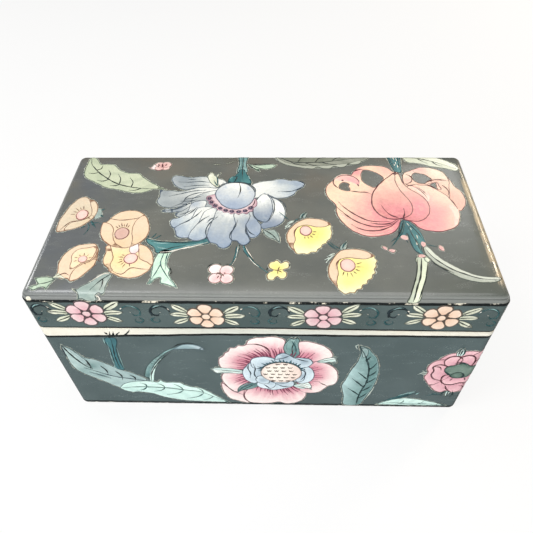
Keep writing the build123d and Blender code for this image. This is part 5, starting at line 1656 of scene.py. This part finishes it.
def rose(name, **where):
    flower = Motif(name, on_wall, **where)
    heart_at = (0, 48)
    outer = ["-15 60.6, -13 65.2, -9.6 68.4, -5.4 69.6, 0.4 71.4, 4.6 71.2, 8.4 69.4, 8 60, 0 55, -9 55",
        "6 70, 10.4 71, 15 69, 18.6 65, 20.4 60, 19.6 55, 8 50, 2 58",
        "19.4 58, 22 52, 21.6 46, 20.4 40, 17 35.6, 8 40, 4 50, 12 56",
        "18 38.4, 18.6 32, 15.6 26.4, 10.6 23.6, 5 24, 2 32, 3 42, 12 42",
        "6.6 25, 2 22.6, -1.6 24.8, -5.4 22.4, -9.4 24.2, -12 27.6, -14.8 32.2, -10 40, 0 42, 6 36",
        "-13.8 31, -17.4 36.4, -19.8 42, -18.6 46.6, -20 51, -19.4 55.6, -17 60, -13 62, -4 56, -4 44, "
        "-8 36"]
    for k, outline in enumerate(outer):
        flower.patch(outline, ROSE, spine_through(outline, heart_at, 0, 1.5), k % 3,
            washes=[(-12, 62, 4, 0.5), (18, 48, 4, 0.5), (-4, 28, 4, 0.4), (-16, 42, 3, 0.4)])
    ring = ["-10 55, -11.6 60.6, -9.4 64.6, -5 65.8, -1.6 63, -2 58, -3 54",
            "-3.6 56, -4 61, -2.4 65, 1.4 67, 4.8 65.4, 6.2 61, 5 55",
            "7 60.6, 11.6 60, 14.6 54, 13 45, 9 44, 5 50",
            "13.6 46, 13 40, 9.6 35.6, 3 35, 0 33, -4.6 33, -8 36.4, -8 44, 3 44",
            "-8 37.6, -12.6 39, -16 44.6, -15.4 49, -16.6 53.6, -13.6 56.4, -9 55, -5 50, -5 42"]
    for k, outline in enumerate(ring):
        flower.patch(outline, ROSE, spine_through(outline, heart_at, 0, 1.5), 3 + k % 2)
        flower.stroke([*picked(outline), picked(outline)[0]], PLUM, 0.5, 5)
    flower.patch("-9.6 50.4, -8.4 54.6, -4.4 56.4, -2 58, 2 58.4, 5 56, 9 55, 10.4 50, 8.6 45, 4 41.4, "
        "0 41, -4 43.6, -7.6 46.6", MOSS, "0.2 48.4", 6, halo=False, washes=[(-3, 55.4, 3.4, 0.8),
        (5, 54, 3, 0.5)])
    flower.patch("-4.6 42.8, -3.6 46.6, -0.6 48.6, 2.4 47.6, 3.6 44, 2.4 41.4, -1.4 41", MOSS, "-1 41", 7,
        halo=False)
    flower.strokes("-9 49, -6 46, -3.4 43; -4.8 57.4, -2.6 59, 0.6 58.4, 2.6 55.6; 2.6 47.6, 3.8 44, 3 41.4",
        LEAF_INK, 0.8, 8)
    flower.strokes("-15.6 54, -12.6 53.6, -11 50; -3 38, -2 40.6; 6 39, 5 41.4; -4.4 32, -3 28, 0 24.6; "
        "8 28, 6.6 31, 4 32; 17 50, 14.6 49.6; 14 30, 11.6 32; 12 66, 10.4 63.6", PLUM, 0.6, 6)
    for outline, bone in (("-5.8 66, -6.6 70.4, -4 74.4!, -1.8 71, -2.6 66.4", "-4.2 66.4, -4 74"),
            ("-1.4 24.6, -2 20.6, -0.6 16.8!, 0.2 20, 0.6 24.2", "-0.4 25, -0.7 17.4"),
            ("19 36, 22.6 33.4, 26 34!, 24 38, 20 39.6", "19.6 37.6, 25.6 34.4")):
        flower.patch(outline, SPROUT, bone, 6)
        flower.stroke(bone, LEAF_INK, 0.7, 7)
    flower.strokes("-5 66, -5.4 70, -4 76.4; -3 66, -2.4 70, -3.8 74; -3 25, -4.4 19.4; 2 25, 3 20, 2 17",
        LEAF_INK, 0.6, 7)
    flower.strokes("-18 47, -21 46.6, -24 44.4; -18 45, -22 44.8; -20 47.6, -22 49", PALE, 0.7, 1)
    flower.make("base")


teal_leaf("teal_leaf_front")
foot_leaf("mint_leaf_foot")
rose("rose_corner", at=(117, 0))

# %% [markdown]
# ## The walls that the photograph does not show
# The back and the two ends carry the same kind of flowers, so that the box can be turned. They are drawn
# again at a different place, turned round or in mirror image, and no larger than on the front.

# %% Motifs on the back and on the ends
peony("peony_back", at=(BACK_MIDDLE + 6, 1), flip=True)
folded_leaf("folded_leaf_back", at=(BACK_MIDDLE, 0), flip=True)
mint_front_leaf("mint_leaf_back", at=(BACK_MIDDLE + 1, 0), flip=True)
grass_blade("grass_blade_back", at=(BACK_MIDDLE, 0), flip=True)
teal_leaf("teal_leaf_back", at=(BACK_MIDDLE, 0), flip=True)
foot_leaf("foot_leaf_back", at=(BACK_MIDDLE - 2, 0), flip=True)
rose("rose_back_corner", at=(BACK_MIDDLE - 117, 0), flip=True)
teal_leaf("teal_leaf_right", at=(RIGHT_MIDDLE + 38, 0), flip=True)
mint_front_leaf("mint_leaf_right", at=(RIGHT_MIDDLE + 62, 0))
peony("peony_left", at=(LEFT_MIDDLE - 6, 4), size=0.88)
teal_leaf("teal_leaf_left", at=(LEFT_MIDDLE - 14, 0), size=0.94)
foot_leaf("foot_leaf_left", at=(LEFT_MIDDLE + 46, 0), flip=True)

# %% [markdown]
# ## Lights, floor and backdrop
# The light is plain and soft. The room is a dim white all round. One large lamp hangs above the box, and the
# glaze mirrors it as a broad sheen on the top. A smaller lamp at the left adds to that sheen. Three small
# lamps stand behind the box, two at the right and one at the left, and give the streaks of light along its
# shoulders. A large lamp in front lightens the walls, and the glaze doesn't mirror it. The floor is white to
# the camera, but keeps part of the box's shadow.

# %% Floor, room and lamps
floor_mesh = bpy.data.meshes.new("floor")
floor_mesh.from_pydata([(-4, -4, -0.0001), (4, -4, -0.0001), (4, 4, -0.0001), (-4, 4, -0.0001)], [],
    [(0, 1, 2, 3)])
floor = bpy.data.objects.new("floor", floor_mesh)
scene.collection.objects.link(floor)
floor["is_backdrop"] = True
material, board, shader = finish_board("floor_paint")
plug(board, shader, Base_Color=(0.82, 0.82, 0.81, 1), Roughness=0.9)
rays = board.node("ShaderNodeLightPath", {}, {}, "Is Camera Ray")
mirrored = Wire(board.tree, rays.socket.node.outputs["Is Glossy Ray"])
dim = mirrored.between((1, 1, 1, 1), (0.16, 0.16, 0.16, 1))
glow = board.node("ShaderNodeEmission", {}, {"Color": dim, "Strength": 1.0})
painted = Wire(board.tree, shader.outputs[0])
both = board.node("ShaderNodeMixShader", {}, {0: (rays * 0.8).larger(mirrored), 1: painted, 2: glow})
board.tree.links.new(both.socket, board.tree.nodes["Material Output"].inputs["Surface"])
floor_mesh.materials.append(material)

world = bpy.data.worlds.new("room")
world.use_nodes = True
scene.world = world
room = Wire(world.node_tree)
soft = world.node_tree.nodes["Background"]
soft.inputs["Color"].default_value, soft.inputs["Strength"].default_value = (1, 1, 1, 1), 0.1
seen = room.node("ShaderNodeLightPath", {}, {}, "Is Camera Ray")
white = room.node("ShaderNodeBackground", {}, {"Color": (1, 1, 1, 1), "Strength": 1.0})
choose = room.node("ShaderNodeMixShader", {}, {0: seen, 1: Wire(world.node_tree, soft.outputs[0]), 2: white})
world.node_tree.links.new(choose.socket, world.node_tree.nodes["World Output"].inputs["Surface"])


def soft_lamp(name, place, sides, power, colour=(1, 1, 1), mirrored=True):
    """A rectangular lamp that looks at the box. Sides are its width and its depth in metres."""
    lamp = bpy.data.objects.new(name, bpy.data.lights.new(name, "AREA"))
    lamp.data.shape, lamp.data.energy, lamp.data.color = "RECTANGLE", power, colour
    lamp.data.size, lamp.data.size_y = sides
    lamp.matrix_world = Matrix.Translation(place) @ Vector(place).to_track_quat("Z", "Y").to_matrix().to_4x4()
    lamp.visible_glossy = mirrored
    scene.collection.objects.link(lamp)


soft_lamp("overhead", (-0.07, -0.14, 1.0), (1.15, 0.85), 6.9)
soft_lamp("left_sheen", (-0.55, -0.3, 0.95), (0.35, 0.45), 3.4)
soft_lamp("back_right", (0.47, 0.86, 0.76), (0.3, 0.25), 0.9)
soft_lamp("right_streak", (0.95, 0.78, 0.5), (0.28, 0.28), 7.4, (1.0, 0.84, 0.62))
soft_lamp("left_streak", (-1.14, 0.55, 0.38), (0.3, 0.35), 3.6)
soft_lamp("front_fill", (-0.3, -1.2, 0.55), (1.0, 1.0), 12.0, mirrored=False)

# %% Sizes and finish
box_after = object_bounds()
sides = zip((*box_before[0], *box_before[1]), (*box_after[0], *box_after[1]))
print("grown by mm:", [round((after - before) * 1000, 2) for before, after in sides])
